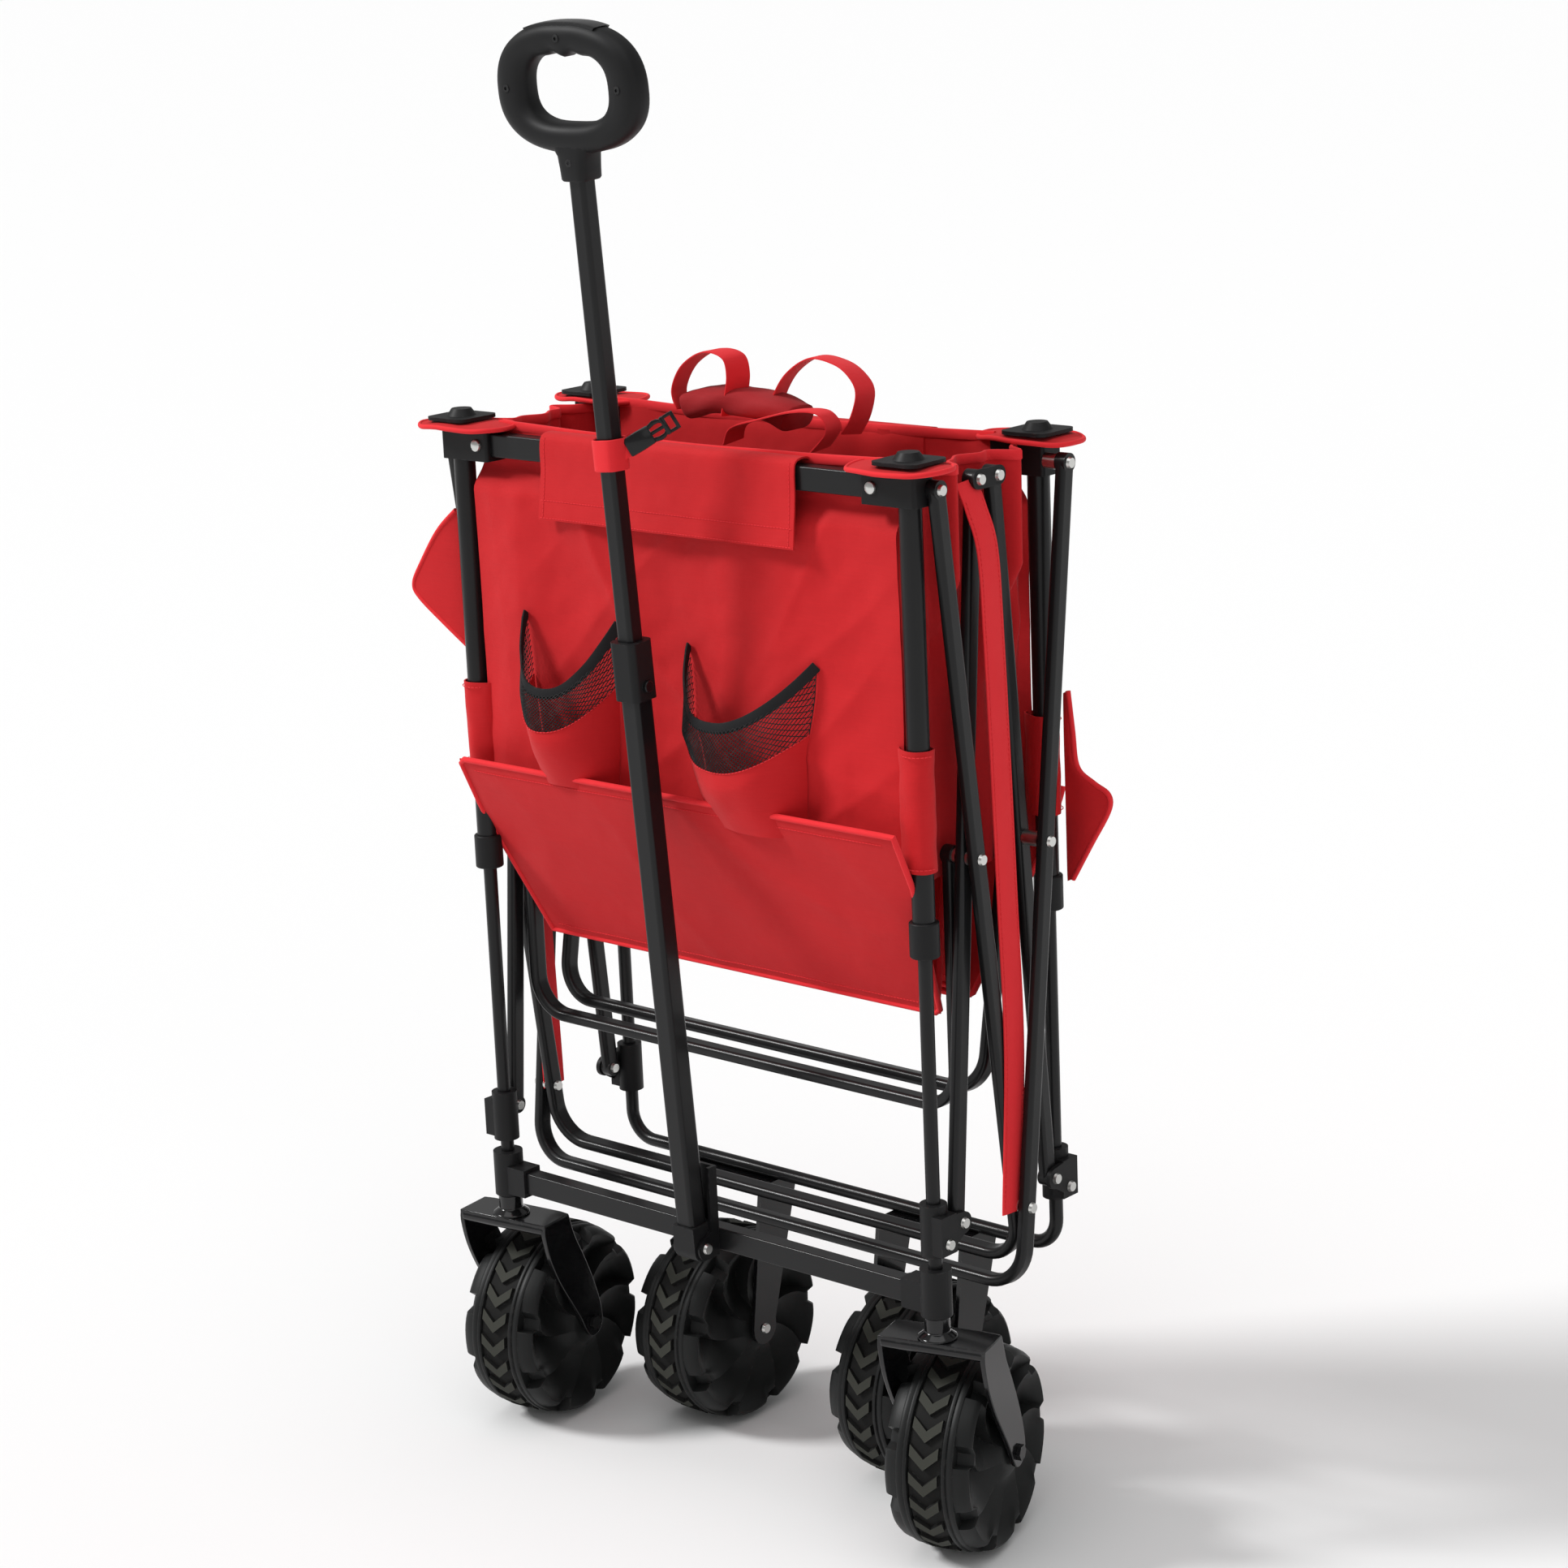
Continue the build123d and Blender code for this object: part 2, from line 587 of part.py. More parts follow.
HALF_T = BAR_T / 2
BRACKET_FACE = HALF_WIDTH + BRACKET_X
LINK_FACE = LAYER_BARS + HALF_T + GAP
LINK_T = 2.2
LINK_PLAY = 2.6  # the slot takes up the bars' spreading half way through the fold


def bow_pins(layer, top, cross, has_mid):
    """The pivots that a bow carries: top corners, crossings, and where asked the common pivot."""
    outer = layer + HALF_T + SEAT
    with BuildPart() as made:
        pin(HALF_WIDTH + UPPER_R + SEAT, outer, *top, heads=(False, True))
        if layer - HALF_T - BRACKET_FACE > 2:
            washer(BRACKET_FACE + GAP, layer - HALF_T - SEAT, *top)
        pin(LAYER_FLOOR_BOW - HALF_T - SEAT, outer, *cross)
        washer(LAYER_BARS + HALF_T + GAP / 2, layer - HALF_T - SEAT, *cross)
        washer(LAYER_FLOOR_BOW + HALF_T + GAP / 2, LAYER_BARS - HALF_T - GAP / 2, *cross)
        if has_mid:
            pin(LAYER_FRONT_BOW - HALF_T - SEAT, LAYER_REAR_BOW + HALF_T + SEAT, *LOW_MID)
            washer(LAYER_FRONT_BOW + HALF_T + GAP / 2, LAYER_REAR_BOW - HALF_T - GAP / 2, *LOW_MID)
        mirror(about=Plane.YZ)
    return made


keep(bow_pins(LAYER_FRONT_BOW, FRONT_TOP, FRONT_CROSS, True), "bow_front_pins")
keep(bow_pins(LAYER_REAR_BOW, REAR_TOP, REAR_CROSS, False), "bow_rear_pins")


def bar_pins(foot, top):
    """The pivots that a pair of bars carries: its feet and its tops."""
    with BuildPart() as made:
        pin(LAYER_BARS - HALF_T - SEAT, LINK_FACE + LUG_T + SEAT, *foot)
        pin(LAYER_BARS - HALF_T - SEAT, LINK_FACE + LINK_T + SEAT, *top)
        mirror(about=Plane.YZ)
    return made


keep(bar_pins(FRONT_FOOT, FRONT_BAR_TOP), "bars_front_pins")
keep(bar_pins(REAR_FOOT, REAR_BAR_TOP), "bars_rear_pins")

with BuildPart() as top_links:
    with BuildSketch(side_plane(LINK_FACE)):
        with Locations((MID_Y, BAR_TOP_Z)):
            SlotCenterToCenter(REAR_BAR_TOP[0] - FRONT_BAR_TOP[0] + LINK_PLAY, BAR_W)
        with Locations(FRONT_BAR_TOP):
            Circle(PIN_R + FIT, mode=Mode.SUBTRACT)
        with Locations((REAR_BAR_TOP[0] + LINK_PLAY / 2, REAR_BAR_TOP[1])):
            SlotCenterToCenter(LINK_PLAY, 2 * (PIN_R + SEAT), mode=Mode.SUBTRACT)
    extrude(amount=LINK_T)
    mirror(about=Plane.YZ)
keep(top_links, "top_links")


def floor_bow(cross, foot, name):
    """A lighter U that hangs from the crossings and carries the floor when the wagon is open."""
    layer = LAYER_FLOOR_BOW
    bow_holes[name] = (cross,)
    keep(bow(name, layer, cross, foot, BEND_R), name)


floor_bow(FRONT_CROSS, (CROSS_Y, CROSS_Z - BOW_DROP), "floor_bow_front")
REAR_BOW_FOOT_Z = CROSS_Z - math.sqrt(BOW_DROP**2 - REAR_BOW_SWING**2)
floor_bow(REAR_CROSS, (rear(CROSS_Y) - REAR_BOW_SWING, REAR_BOW_FOOT_Z), "floor_bow_rear")

# ---- the two upper frames, front and rear -------------------------------------------------------


def upper_frame(post_y, inward, end):
    """Crossbar with its rivets, corner brackets, upper posts, collars and caps of one end."""
    bar_z = TOP_PIVOT_Z + 1
    reach = HALF_WIDTH - UPPER_R - 1
    face = post_y - inward * BRACKET_Y
    rivet_x = HALF_WIDTH - BRACKET_REACH + 12
    with BuildPart() as crossbar:
        with BuildSketch(side_plane(-reach, post_y, bar_z)):
            RectangleRounded(CROSSBAR_D, CROSSBAR_H, CROSSBAR_WALL)
            Rectangle(
                CROSSBAR_D - 2 * CROSSBAR_WALL, CROSSBAR_H - 2 * CROSSBAR_WALL, mode=Mode.SUBTRACT
            )
        extrude(amount=2 * reach)
        rivet = Plane(origin=(0, face, bar_z), x_dir=(1, 0, 0), z_dir=(0, -inward, 0))
        with BuildSketch(rivet.offset(-CROSSBAR_WALL - BRACKET_Y + CROSSBAR_D / 2 - 1)):
            with Locations((rivet_x, 0), (-rivet_x, 0)):
                Circle(PIN_R)
        extrude(amount=CROSSBAR_WALL + 1 + BRACKET_Y - CROSSBAR_D / 2 + SEAT)
        with BuildSketch(rivet.offset(SEAT)):
            with Locations((rivet_x, 0), (-rivet_x, 0)):
                Circle(HEAD_R)
        extrude(amount=HEAD_T, taper=20)
    keep(crossbar, f"{end}_top_crossbar")
    with BuildPart() as brackets:
        with BuildSketch(Plane.XY.offset(BRACKET_LOW_Z)):
            with Locations((HALF_WIDTH + (BRACKET_X - BRACKET_REACH) / 2, post_y)):
                RectangleRounded(BRACKET_X + BRACKET_REACH, 2 * BRACKET_Y, 3)
        extrude(amount=BRACKET_HIGH_Z - BRACKET_LOW_Z)
        with BuildSketch(side_plane(reach + SEAT, post_y, bar_z)):
            Rectangle(CROSSBAR_D + 2 * SEAT, CROSSBAR_H + 2 * SEAT)
        extrude(amount=-BRACKET_REACH, mode=Mode.SUBTRACT)
        with BuildSketch(Plane.XY.offset(BRACKET_LOW_Z)):
            with Locations((HALF_WIDTH, post_y)):
                Circle(UPPER_R + SEAT)
        extrude(amount=BRACKET_HIGH_Z - BRACKET_LOW_Z - 4, mode=Mode.SUBTRACT)
        pivot_y = post_y + inward * TOP_PIVOT_Y
        hole_x(HALF_WIDTH, HALF_WIDTH + LAYER * 2, pivot_y, TOP_PIVOT_Z, PIN_R + FIT)
        with BuildSketch(rivet.offset(-BRACKET_Y)):
            with Locations((rivet_x, 0)):
                Circle(PIN_R + SEAT)
        extrude(amount=BRACKET_Y, mode=Mode.SUBTRACT)
        mirror(about=Plane.YZ)
    keep(brackets, f"{end}_corner_brackets")
    with BuildPart() as posts:
        with BuildSketch(Plane.XY.offset(COLLAR_LOW_Z + COLLAR_LIP)):
            with Locations((HALF_WIDTH, post_y), (-HALF_WIDTH, post_y)):
                Circle(UPPER_R)
                Circle(UPPER_R - UPPER_WALL, mode=Mode.SUBTRACT)
        extrude(amount=BRACKET_HIGH_Z - 4 - SEAT - COLLAR_LOW_Z - COLLAR_LIP)
    keep(posts, f"{end}_upper_posts")
    with BuildPart() as collars:
        with BuildSketch(Plane.XY.offset(COLLAR_LOW_Z)):
            with Locations((HALF_WIDTH, post_y), (-HALF_WIDTH, post_y)):
                Circle(COLLAR_R)
        extrude(amount=COLLAR_HIGH_Z - COLLAR_LOW_Z)
        fillet(edges().filter_by(GeomType.CIRCLE), 1.5)
        with BuildSketch(Plane.XY.offset(COLLAR_LOW_Z + COLLAR_LIP - SEAT)):
            with Locations((HALF_WIDTH, post_y), (-HALF_WIDTH, post_y)):
                Circle(UPPER_R + SEAT)
        extrude(amount=COLLAR_HIGH_Z - COLLAR_LOW_Z, mode=Mode.SUBTRACT)
        with BuildSketch(Plane.XY.offset(COLLAR_LOW_Z)):
            with Locations((HALF_WIDTH, post_y), (-HALF_WIDTH, post_y)):
                Circle(COLLAR_BORE_R)
        extrude(amount=COLLAR_LIP, mode=Mode.SUBTRACT)
    keep(collars, f"{end}_collars")
    with BuildPart() as caps:
        with BuildSketch(Plane.XY.offset(BRACKET_HIGH_Z + CAP_T)):
            with Locations((HALF_WIDTH, post_y), (-HALF_WIDTH, post_y)):
                RectangleRounded(CAP_SIZE, CAP_SIZE, 8)
        extrude(amount=CAP_T)
        with BuildSketch(Plane.XY.offset(BRACKET_HIGH_Z + 2 * CAP_T)):
            with Locations((HALF_WIDTH, post_y), (-HALF_WIDTH, post_y)):
                Circle(CAP_DOME_R)
        extrude(amount=CAP_DOME_H, taper=35)
        with BuildSketch(Plane.XY.offset(BRACKET_HIGH_Z)):
            with Locations((HALF_WIDTH, post_y), (-HALF_WIDTH, post_y)):
                Circle(CAP_T)
        extrude(amount=CAP_T)
    keep(caps, f"{end}_corner_caps")


upper_frame(0, 1, "front")
upper_frame(DEPTH, -1, "rear")

# ---- handle ---------------------------------------------------------------------------------------
LEAN = math.radians(HANDLE_LEAN)
HANDLE = Plane(
    origin=(0, HANDLE_Y, HANDLE_Z), x_dir=(1, 0, 0), z_dir=(0, -math.sin(LEAN), math.cos(LEAN))
)
FRONT_FACE = Plane(origin=HANDLE.origin, x_dir=(1, 0, 0), z_dir=tuple(-HANDLE.y_dir))
# A point (x, s) drawn on FRONT_FACE is x across and s up the pole.


def square_tube(size, wall, low, high):
    """A hollow pole of rounded square section between two places on the handle."""
    with BuildPart() as made:
        with BuildSketch(HANDLE.offset(low)):
            RectangleRounded(size, size, POLE_ROUND)
            RectangleRounded(size - 2 * wall, size - 2 * wall, POLE_ROUND - wall, mode=Mode.SUBTRACT)
        extrude(amount=high - low)
    return made


keep(square_tube(POLE, POLE_WALL, BOOT_HIGH - 8, COLLAR_S + POLE_IN_COLLAR), "handle_lower_tube")
keep(square_tube(INNER_POLE, INNER_WALL, INNER_FOOT_S, NECK_S + NECK_LEN / 2), "handle_upper_tube")

with BuildPart() as handle_boot:
    with BuildSketch(HANDLE):
        Rectangle(BOOT, BOOT)
    extrude(amount=BOOT_HIGH)
    disc_x(-BOOT / 2, BOOT / 2, HANDLE_Y, HANDLE_Z, BOOT / 2)
    with BuildSketch(HANDLE.offset(BOOT_HIGH - 8 - SEAT)):
        RectangleRounded(POLE + 2 * SEAT, POLE + 2 * SEAT, POLE_ROUND)
    extrude(amount=POLE, mode=Mode.SUBTRACT)
    hole_x(-LAYER * 2, LAYER * 2, HANDLE_Y, HANDLE_Z, PIN_R + FIT)
keep(handle_boot, "handle_boot")

with BuildPart() as handle_collar:
    with BuildSketch(HANDLE.offset(COLLAR_S)):
        RectangleRounded(COLLAR_SIZE, COLLAR_SIZE, COLLAR_ROUND)
    extrude(amount=COLLAR_LEN)
    with BuildSketch(HANDLE.offset(COLLAR_S - 1)):
        RectangleRounded(POLE + 2 * SEAT, POLE + 2 * SEAT, POLE_ROUND)
    extrude(amount=POLE_IN_COLLAR + 1 + SEAT, mode=Mode.SUBTRACT)
    with BuildSketch(HANDLE.offset(COLLAR_S)):
        RectangleRounded(INNER_POLE + 2 * GAP, INNER_POLE + 2 * GAP, POLE_ROUND)
    extrude(amount=COLLAR_LEN + 1, mode=Mode.SUBTRACT)
    button_at = HANDLE.offset(BUTTON_S).origin
    hole_x(POLE / 2, COLLAR_SIZE, button_at.Y, button_at.Z, BUTTON_R + FIT)
keep(handle_collar, "handle_collar")

with BuildPart() as handle_button:
    with BuildSketch(side_plane(BUTTON_IN, button_at.Y, button_at.Z)):
        Circle(BUTTON_R)
    extrude(amount=BUTTON_LEN)
    fillet(edges().sort_by(Axis.X)[-1], 1)
keep(handle_button, "handle_button")

GRIP_S = NECK_S + NECK_LEN


def grip_half(front):
    """One half of the moulded D grip, split on the plane of the pole."""
    with BuildPart() as made:
        plane = FRONT_FACE if front else Plane(
            origin=HANDLE.origin, x_dir=(-1, 0, 0), z_dir=tuple(HANDLE.y_dir)
        )
        with BuildSketch(plane.offset(SEAT / 2)):
            with BuildLine():
                Polyline(
                    (-BOOT / 2, NECK_S), (-BOOT / 2 - 2, GRIP_S), (-GRIP_W / 2 + 12, GRIP_S + 22),
                    (-GRIP_W / 2, GRIP_S + 55), (-GRIP_W / 2 + 16, GRIP_S + GRIP_H - 8),
                    (0, GRIP_S + GRIP_H + 1.5), (GRIP_W / 2 - 16, GRIP_S + GRIP_H - 8),
                    (GRIP_W / 2, GRIP_S + 55), (GRIP_W / 2 - 12, GRIP_S + 22),
                    (BOOT / 2 + 2, GRIP_S), (BOOT / 2, NECK_S), close=True,
                )
            make_face()
            with Locations((0, GRIP_S + GRIP_HOLE_UP + GRIP_HOLE_H / 2)):
                RectangleRounded(GRIP_HOLE_W, GRIP_HOLE_H, 14, mode=Mode.SUBTRACT)
        extrude(amount=GRIP_T / 2)
        fillet(faces().sort_by(Axis(plane.origin, plane.z_dir))[-1].edges(), 5)
        with BuildSketch(HANDLE.offset(NECK_S - 1)):
            RectangleRounded(INNER_POLE + 2 * SEAT, INNER_POLE + 2 * SEAT, POLE_ROUND)
        extrude(amount=NECK_LEN / 2 + 1 + SEAT, mode=Mode.SUBTRACT)
        if front:
            with BuildSketch(plane.offset(SEAT)):
                with Locations(*SCREWS):
                    Circle(1.6)
            extrude(amount=GRIP_T, mode=Mode.SUBTRACT)
            with BuildSketch(plane.offset(GRIP_T / 2 - 3)):
                with Locations(*SCREWS):
                    Circle(3.6)
            extrude(amount=GRIP_T, mode=Mode.SUBTRACT)
    return made


SCREWS = [
    (0, GRIP_S + GRIP_H - 13), (-62, GRIP_S + 46), (62, GRIP_S + 46), (0, GRIP_S + 9),
]
keep(grip_half(True), "grip_front_shell")
keep(grip_half(False), "grip_rear_shell")

with BuildPart() as grip_screws:
    with BuildSketch(FRONT_FACE.offset(SEAT)):
        with Locations(*SCREWS):
            Circle(1.5)
    extrude(amount=GRIP_T / 2 - 3)
    with BuildSketch(FRONT_FACE.offset(GRIP_T / 2 - 3 + SEAT)):
        with Locations(*SCREWS):
            Circle(3.4)
    extrude(amount=2.2)
keep(grip_screws, "grip_screws")

with BuildPart() as handle_strap:
    inside = INNER_POLE + 4 * GAP
    with BuildSketch(HANDLE.offset(STRAP_S)):
        RectangleRounded(inside + 2 * STRAP_T, inside + 2 * STRAP_T, POLE_ROUND + 1)
        RectangleRounded(inside, inside, POLE_ROUND, mode=Mode.SUBTRACT)
    extrude(amount=STRAP_H)
    edge = inside / 2 + STRAP_T
    with BuildSketch(HANDLE.offset(STRAP_S)):
        with Locations((edge - STRAP_T / 2, edge + 8)):
            Rectangle(STRAP_T, 24)
    extrude(amount=STRAP_H)
keep(handle_strap, "handle_strap")

with BuildPart() as strap_buckle:
    with BuildSketch(HANDLE.offset(STRAP_S + STRAP_H + SEAT)):
        with Locations((edge + 14, edge + 10)):
            RectangleRounded(30, 12, 4)
    extrude(amount=22)
    with BuildSketch(HANDLE.offset(STRAP_S + 2)):
        with Locations((edge + 6, edge + 10)):
            Rectangle(8, 8)
    extrude(amount=STRAP_H)
keep(strap_buckle, "strap_buckle")

# ---- cloth: plain closed shapes -------------------------------------------------------------------


def end_wall(post_y, name):
    """The cloth across one end, between its upper posts."""
    with BuildPart() as made:
        with BuildSketch(Plane.XY.offset(WALL_LOW_Z)):
            with Locations((0, post_y)):
                Rectangle(2 * WALL_HALF, CLOTH_T)
        extrude(amount=WALL_HIGH_Z - WALL_LOW_Z)
        fillet(edges().filter_by(Axis.Z), 3)
    keep(made, name)


end_wall(0, "front_wall")
end_wall(DEPTH, "rear_wall")

with BuildPart() as side_walls:
    with BuildSketch(Plane.XY.offset(SIDE_LOW_Z)):
        with Locations((SIDE_X + SIDE_T / 2, SIDE_Y + SIDE_LEN / 2)):
            Rectangle(SIDE_T, SIDE_LEN)
    extrude(amount=WALL_HIGH_Z - SIDE_LOW_Z)
    fillet(edges().filter_by(Axis.Z), 3)
    mirror(about=Plane.YZ)
keep(side_walls, "side_walls")

HINGE_Y = CROSS_Y + HINGE_SET
HINGE_Z = CROSS_Z - HINGE_DROP
SWING = math.asin(REAR_BOW_SWING / BOW_DROP)
REAR_HINGE_Y = rear(CROSS_Y) - HINGE_SET * math.cos(SWING) - HINGE_DROP * math.sin(SWING)
REAR_HINGE_Z = CROSS_Z + HINGE_SET * math.sin(SWING) - HINGE_DROP * math.cos(SWING)


def floor_panel(hinge, length, turn, away, name):
    """A stiffened floor panel that stands up from its fold line at the given angle."""
    angle = math.radians(turn)
    out = (0, away * math.cos(angle), math.sin(angle))
    with BuildPart() as made:
        with BuildSketch(Plane(origin=(0, *hinge), x_dir=(1, 0, 0), z_dir=out).offset(PANEL_GAP)):
            Rectangle(2 * PANEL_HALF, PANEL_T)
        extrude(amount=length - PANEL_GAP)
    keep(made, name)


FRONT_FOLD = (HINGE_Y, HINGE_Z)
REAR_FOLD = (REAR_HINGE_Y, REAR_HINGE_Z)
floor_panel(FRONT_FOLD, OUTER_PANEL, OUTER_TURN, -1, "floor_front_panel")
floor_panel(FRONT_FOLD, INNER_PANEL, INNER_TURN, 1, "floor_mid_front_panel")
floor_panel(REAR_FOLD, OUTER_PANEL, REAR_OUTER_TURN, 1, "floor_rear_panel")
floor_panel(REAR_FOLD, INNER_PANEL, REAR_INNER_TURN, -1, "floor_mid_rear_panel")

# ---- the shared frame: origin on the ground, below the middle of everything -----------------------
boxes = [part.bounding_box() for part in finished.values()]
low = [min(box.min.to_tuple()[i] for box in boxes) for i in range(3)]
high = [max(box.max.to_tuple()[i] for box in boxes) for i in range(3)]
shift = (-(low[0] + high[0]) / 2, -(low[1] + high[1]) / 2, -low[2])
for name, part in finished.items():
    placed_part = part.moved(Location(shift))
    placed_part.label = name
    export_step(placed_part, f"parts/{name}.step")
print("moved by", [round(value, 4) for value in shift])
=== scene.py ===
# %% [markdown]
# # A folding camp wagon, dressed for the camera
# The wagon's steel and moulded parts come in as a fixed frame, already at their real sizes. This
# lesson gives each of them a finish and makes what a workshop sews, moulds or weaves: the
# cloth body, webbing, netting, wheels and grip. Each step says what the thing is, which ways there
# are to make it, and why one was chosen.

# %% Load the frame and measure it
import json
import math

import bmesh
import bpy
from mathutils import Matrix, Vector, noise


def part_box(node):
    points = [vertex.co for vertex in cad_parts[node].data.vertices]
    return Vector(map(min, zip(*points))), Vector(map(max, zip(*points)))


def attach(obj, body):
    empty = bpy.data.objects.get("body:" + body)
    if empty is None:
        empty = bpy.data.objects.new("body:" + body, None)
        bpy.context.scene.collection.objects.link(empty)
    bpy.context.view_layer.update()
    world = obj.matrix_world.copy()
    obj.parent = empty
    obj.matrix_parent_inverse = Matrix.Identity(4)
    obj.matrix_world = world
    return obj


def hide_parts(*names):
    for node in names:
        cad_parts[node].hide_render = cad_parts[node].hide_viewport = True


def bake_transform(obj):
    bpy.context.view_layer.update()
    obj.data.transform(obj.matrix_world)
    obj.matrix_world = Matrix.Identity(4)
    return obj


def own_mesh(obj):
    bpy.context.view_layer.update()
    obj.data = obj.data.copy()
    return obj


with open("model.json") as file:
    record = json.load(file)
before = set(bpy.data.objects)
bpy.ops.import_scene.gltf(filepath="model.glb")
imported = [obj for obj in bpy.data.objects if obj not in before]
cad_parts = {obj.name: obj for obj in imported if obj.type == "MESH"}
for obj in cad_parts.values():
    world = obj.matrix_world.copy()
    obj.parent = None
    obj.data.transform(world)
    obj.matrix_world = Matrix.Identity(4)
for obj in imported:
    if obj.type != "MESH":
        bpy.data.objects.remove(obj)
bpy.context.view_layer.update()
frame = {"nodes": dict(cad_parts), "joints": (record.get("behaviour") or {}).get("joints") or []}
bar_low, bar_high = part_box("front_lower_crossbar")
MID_X = (bar_low.x + bar_high.x) / 2
FRONT_Y = (bar_low.y + bar_high.y) / 2


def at(x, y, z):
    """A point in millimetres from the ground under the middle of the front posts' line."""
    return Vector((MID_X + x / 1000, FRONT_Y + y / 1000, z / 1000))


# %% [markdown]
# ## Surface effects, built once
# Powder coat, moulded plastic and cloth each differ from a flat colour in small ways. Every effect is
# a node group with named sockets, so that a finish is made by plugging effects together and giving
# each its own values. A picture texture would blur close up and slide on the folds, so every effect
# is worked out from the place of the point on its piece.

# %% Helpers for node trees


def new_group(name, inputs, outputs):
    """An empty shader node group with float or colour sockets."""
    group = bpy.data.node_groups.new(name, "ShaderNodeTree")
    for label, default in inputs:
        kind = "NodeSocketColor" if isinstance(default, tuple) else "NodeSocketFloat"
        socket = group.interface.new_socket(label, in_out="INPUT", socket_type=kind)
        socket.default_value = default
    for label, kind in outputs:
        group.interface.new_socket(label, in_out="OUTPUT", socket_type=kind)
    return group, group.nodes.new("NodeGroupInput"), group.nodes.new("NodeGroupOutput")


def maths(tree, operation, *values, clamp=False):
    """One Math node whose inputs are sockets or numbers."""
    node = tree.nodes.new("ShaderNodeMath")
    node.operation = operation
    node.use_clamp = clamp
    for i, value in enumerate(values):
        if isinstance(value, (int, float)):
            node.inputs[i].default_value = value
        else:
            tree.links.new(value, node.inputs[i])
    return node.outputs[0]


def mottle(tree, scale, detail=3.0, stretch=(1, 1, 1)):
    """Soft noise from the point's place on its piece."""
    place = tree.nodes.new("ShaderNodeTexCoord")
    mapping = tree.nodes.new("ShaderNodeMapping")
    mapping.inputs["Scale"].default_value = stretch
    cloud = tree.nodes.new("ShaderNodeTexNoise")
    cloud.inputs["Detail"].default_value = detail
    tree.links.new(place.outputs["Object"], mapping.inputs["Vector"])
    tree.links.new(mapping.outputs["Vector"], cloud.inputs["Vector"])
    if isinstance(scale, (int, float)):
        cloud.inputs["Scale"].default_value = scale
    else:
        tree.links.new(scale, cloud.inputs["Scale"])
    return cloud.outputs["Fac"]
print("shader helpers:", new_group.__name__, maths.__name__, mottle.__name__)

# %% Worn edge: a mask that is bright where two faces meet
worn_edge, enter, leave = new_group(
    "worn_edge", [("Width", 0.002), ("Break up", 180.0)], [("Mask", "NodeSocketFloat")]
)
rounded = worn_edge.nodes.new("ShaderNodeBevel")
rounded.samples = 4
plain = worn_edge.nodes.new("ShaderNodeNewGeometry")
dot = worn_edge.nodes.new("ShaderNodeVectorMath")
dot.operation = "DOT_PRODUCT"
worn_edge.links.new(enter.outputs["Width"], rounded.inputs["Radius"])
worn_edge.links.new(rounded.outputs["Normal"], dot.inputs[0])
worn_edge.links.new(plain.outputs["Normal"], dot.inputs[1])
sharp = maths(worn_edge, "SUBTRACT", 0.985, dot.outputs["Value"])
sharp = maths(worn_edge, "MULTIPLY", sharp, 14.0, clamp=True)
chips = maths(worn_edge, "GREATER_THAN", mottle(worn_edge, enter.outputs["Break up"]), 0.56)
worn_edge.links.new(maths(worn_edge, "MULTIPLY", sharp, chips), leave.inputs["Mask"])
print("worn edge:", len(worn_edge.nodes), "nodes")

# %% Settled dust: a faint mask in patches, a little stronger on upward faces
dust, enter, leave = new_group("settled_dust", [("Scale", 9.0)], [("Mask", "NodeSocketFloat")])
facing = dust.nodes.new("ShaderNodeNewGeometry")
split = dust.nodes.new("ShaderNodeSeparateXYZ")
dust.links.new(facing.outputs["Normal"], split.inputs[0])
upward = maths(dust, "MULTIPLY", maths(dust, "MAXIMUM", split.outputs["Z"], 0.0), 0.5)
patches = mottle(dust, enter.outputs["Scale"], detail=6.0)
dust.links.new(
    maths(dust, "MULTIPLY", maths(dust, "ADD", upward, 0.35), patches), leave.inputs["Mask"]
)
print("dust:", len(dust.nodes), "nodes")

# %% Plain weave: threads over and under each other, with a height for bump
weave, enter, leave = new_group(
    "plain_weave", [("Threads", 700.0)], [("Height", "NodeSocketFloat"), ("Shade", "NodeSocketFloat")]
)
place = weave.nodes.new("ShaderNodeTexCoord")
axes = weave.nodes.new("ShaderNodeSeparateXYZ")
weave.links.new(place.outputs["Object"], axes.inputs[0])
across = maths(weave, "ADD", axes.outputs["X"], axes.outputs["Y"])
up = maths(weave, "ADD", axes.outputs["Z"], maths(weave, "MULTIPLY", axes.outputs["Y"], 0.35))
warp = maths(weave, "SINE", maths(weave, "MULTIPLY", across, enter.outputs["Threads"]))
weft = maths(weave, "SINE", maths(weave, "MULTIPLY", up, enter.outputs["Threads"]))
weave.links.new(
    maths(weave, "MULTIPLY_ADD", maths(weave, "MULTIPLY", warp, weft), 0.5, 0.5),
    leave.inputs["Height"],
)
weave.links.new(mottle(weave, 60.0, 2.0, (1, 1, 14)), leave.inputs["Shade"])
print("weave:", len(weave.nodes), "nodes")

# %% [markdown]
# ## Finishes
# The wagon has satin powder coat on the tubes, grained and smooth black plastic, hard blown plastic
# on the wheels, glossy black paint on the forks, zinc on the pins, grey rubber with painted shade in
# its grooves, dark elastic and netting on the pockets, and red cloth with a brighter red for its
# webbing. Each is one Principled shader; what changes over the surface comes from the effects, and
# what is the same all over is set on the shader itself.

# %% One maker for the hard finishes


def finish_tree(name):
    """A new material with its tree and its shader."""
    material = bpy.data.materials.new(name)
    material.use_nodes = True
    tree = material.node_tree
    return material, tree, tree.nodes["Principled BSDF"]


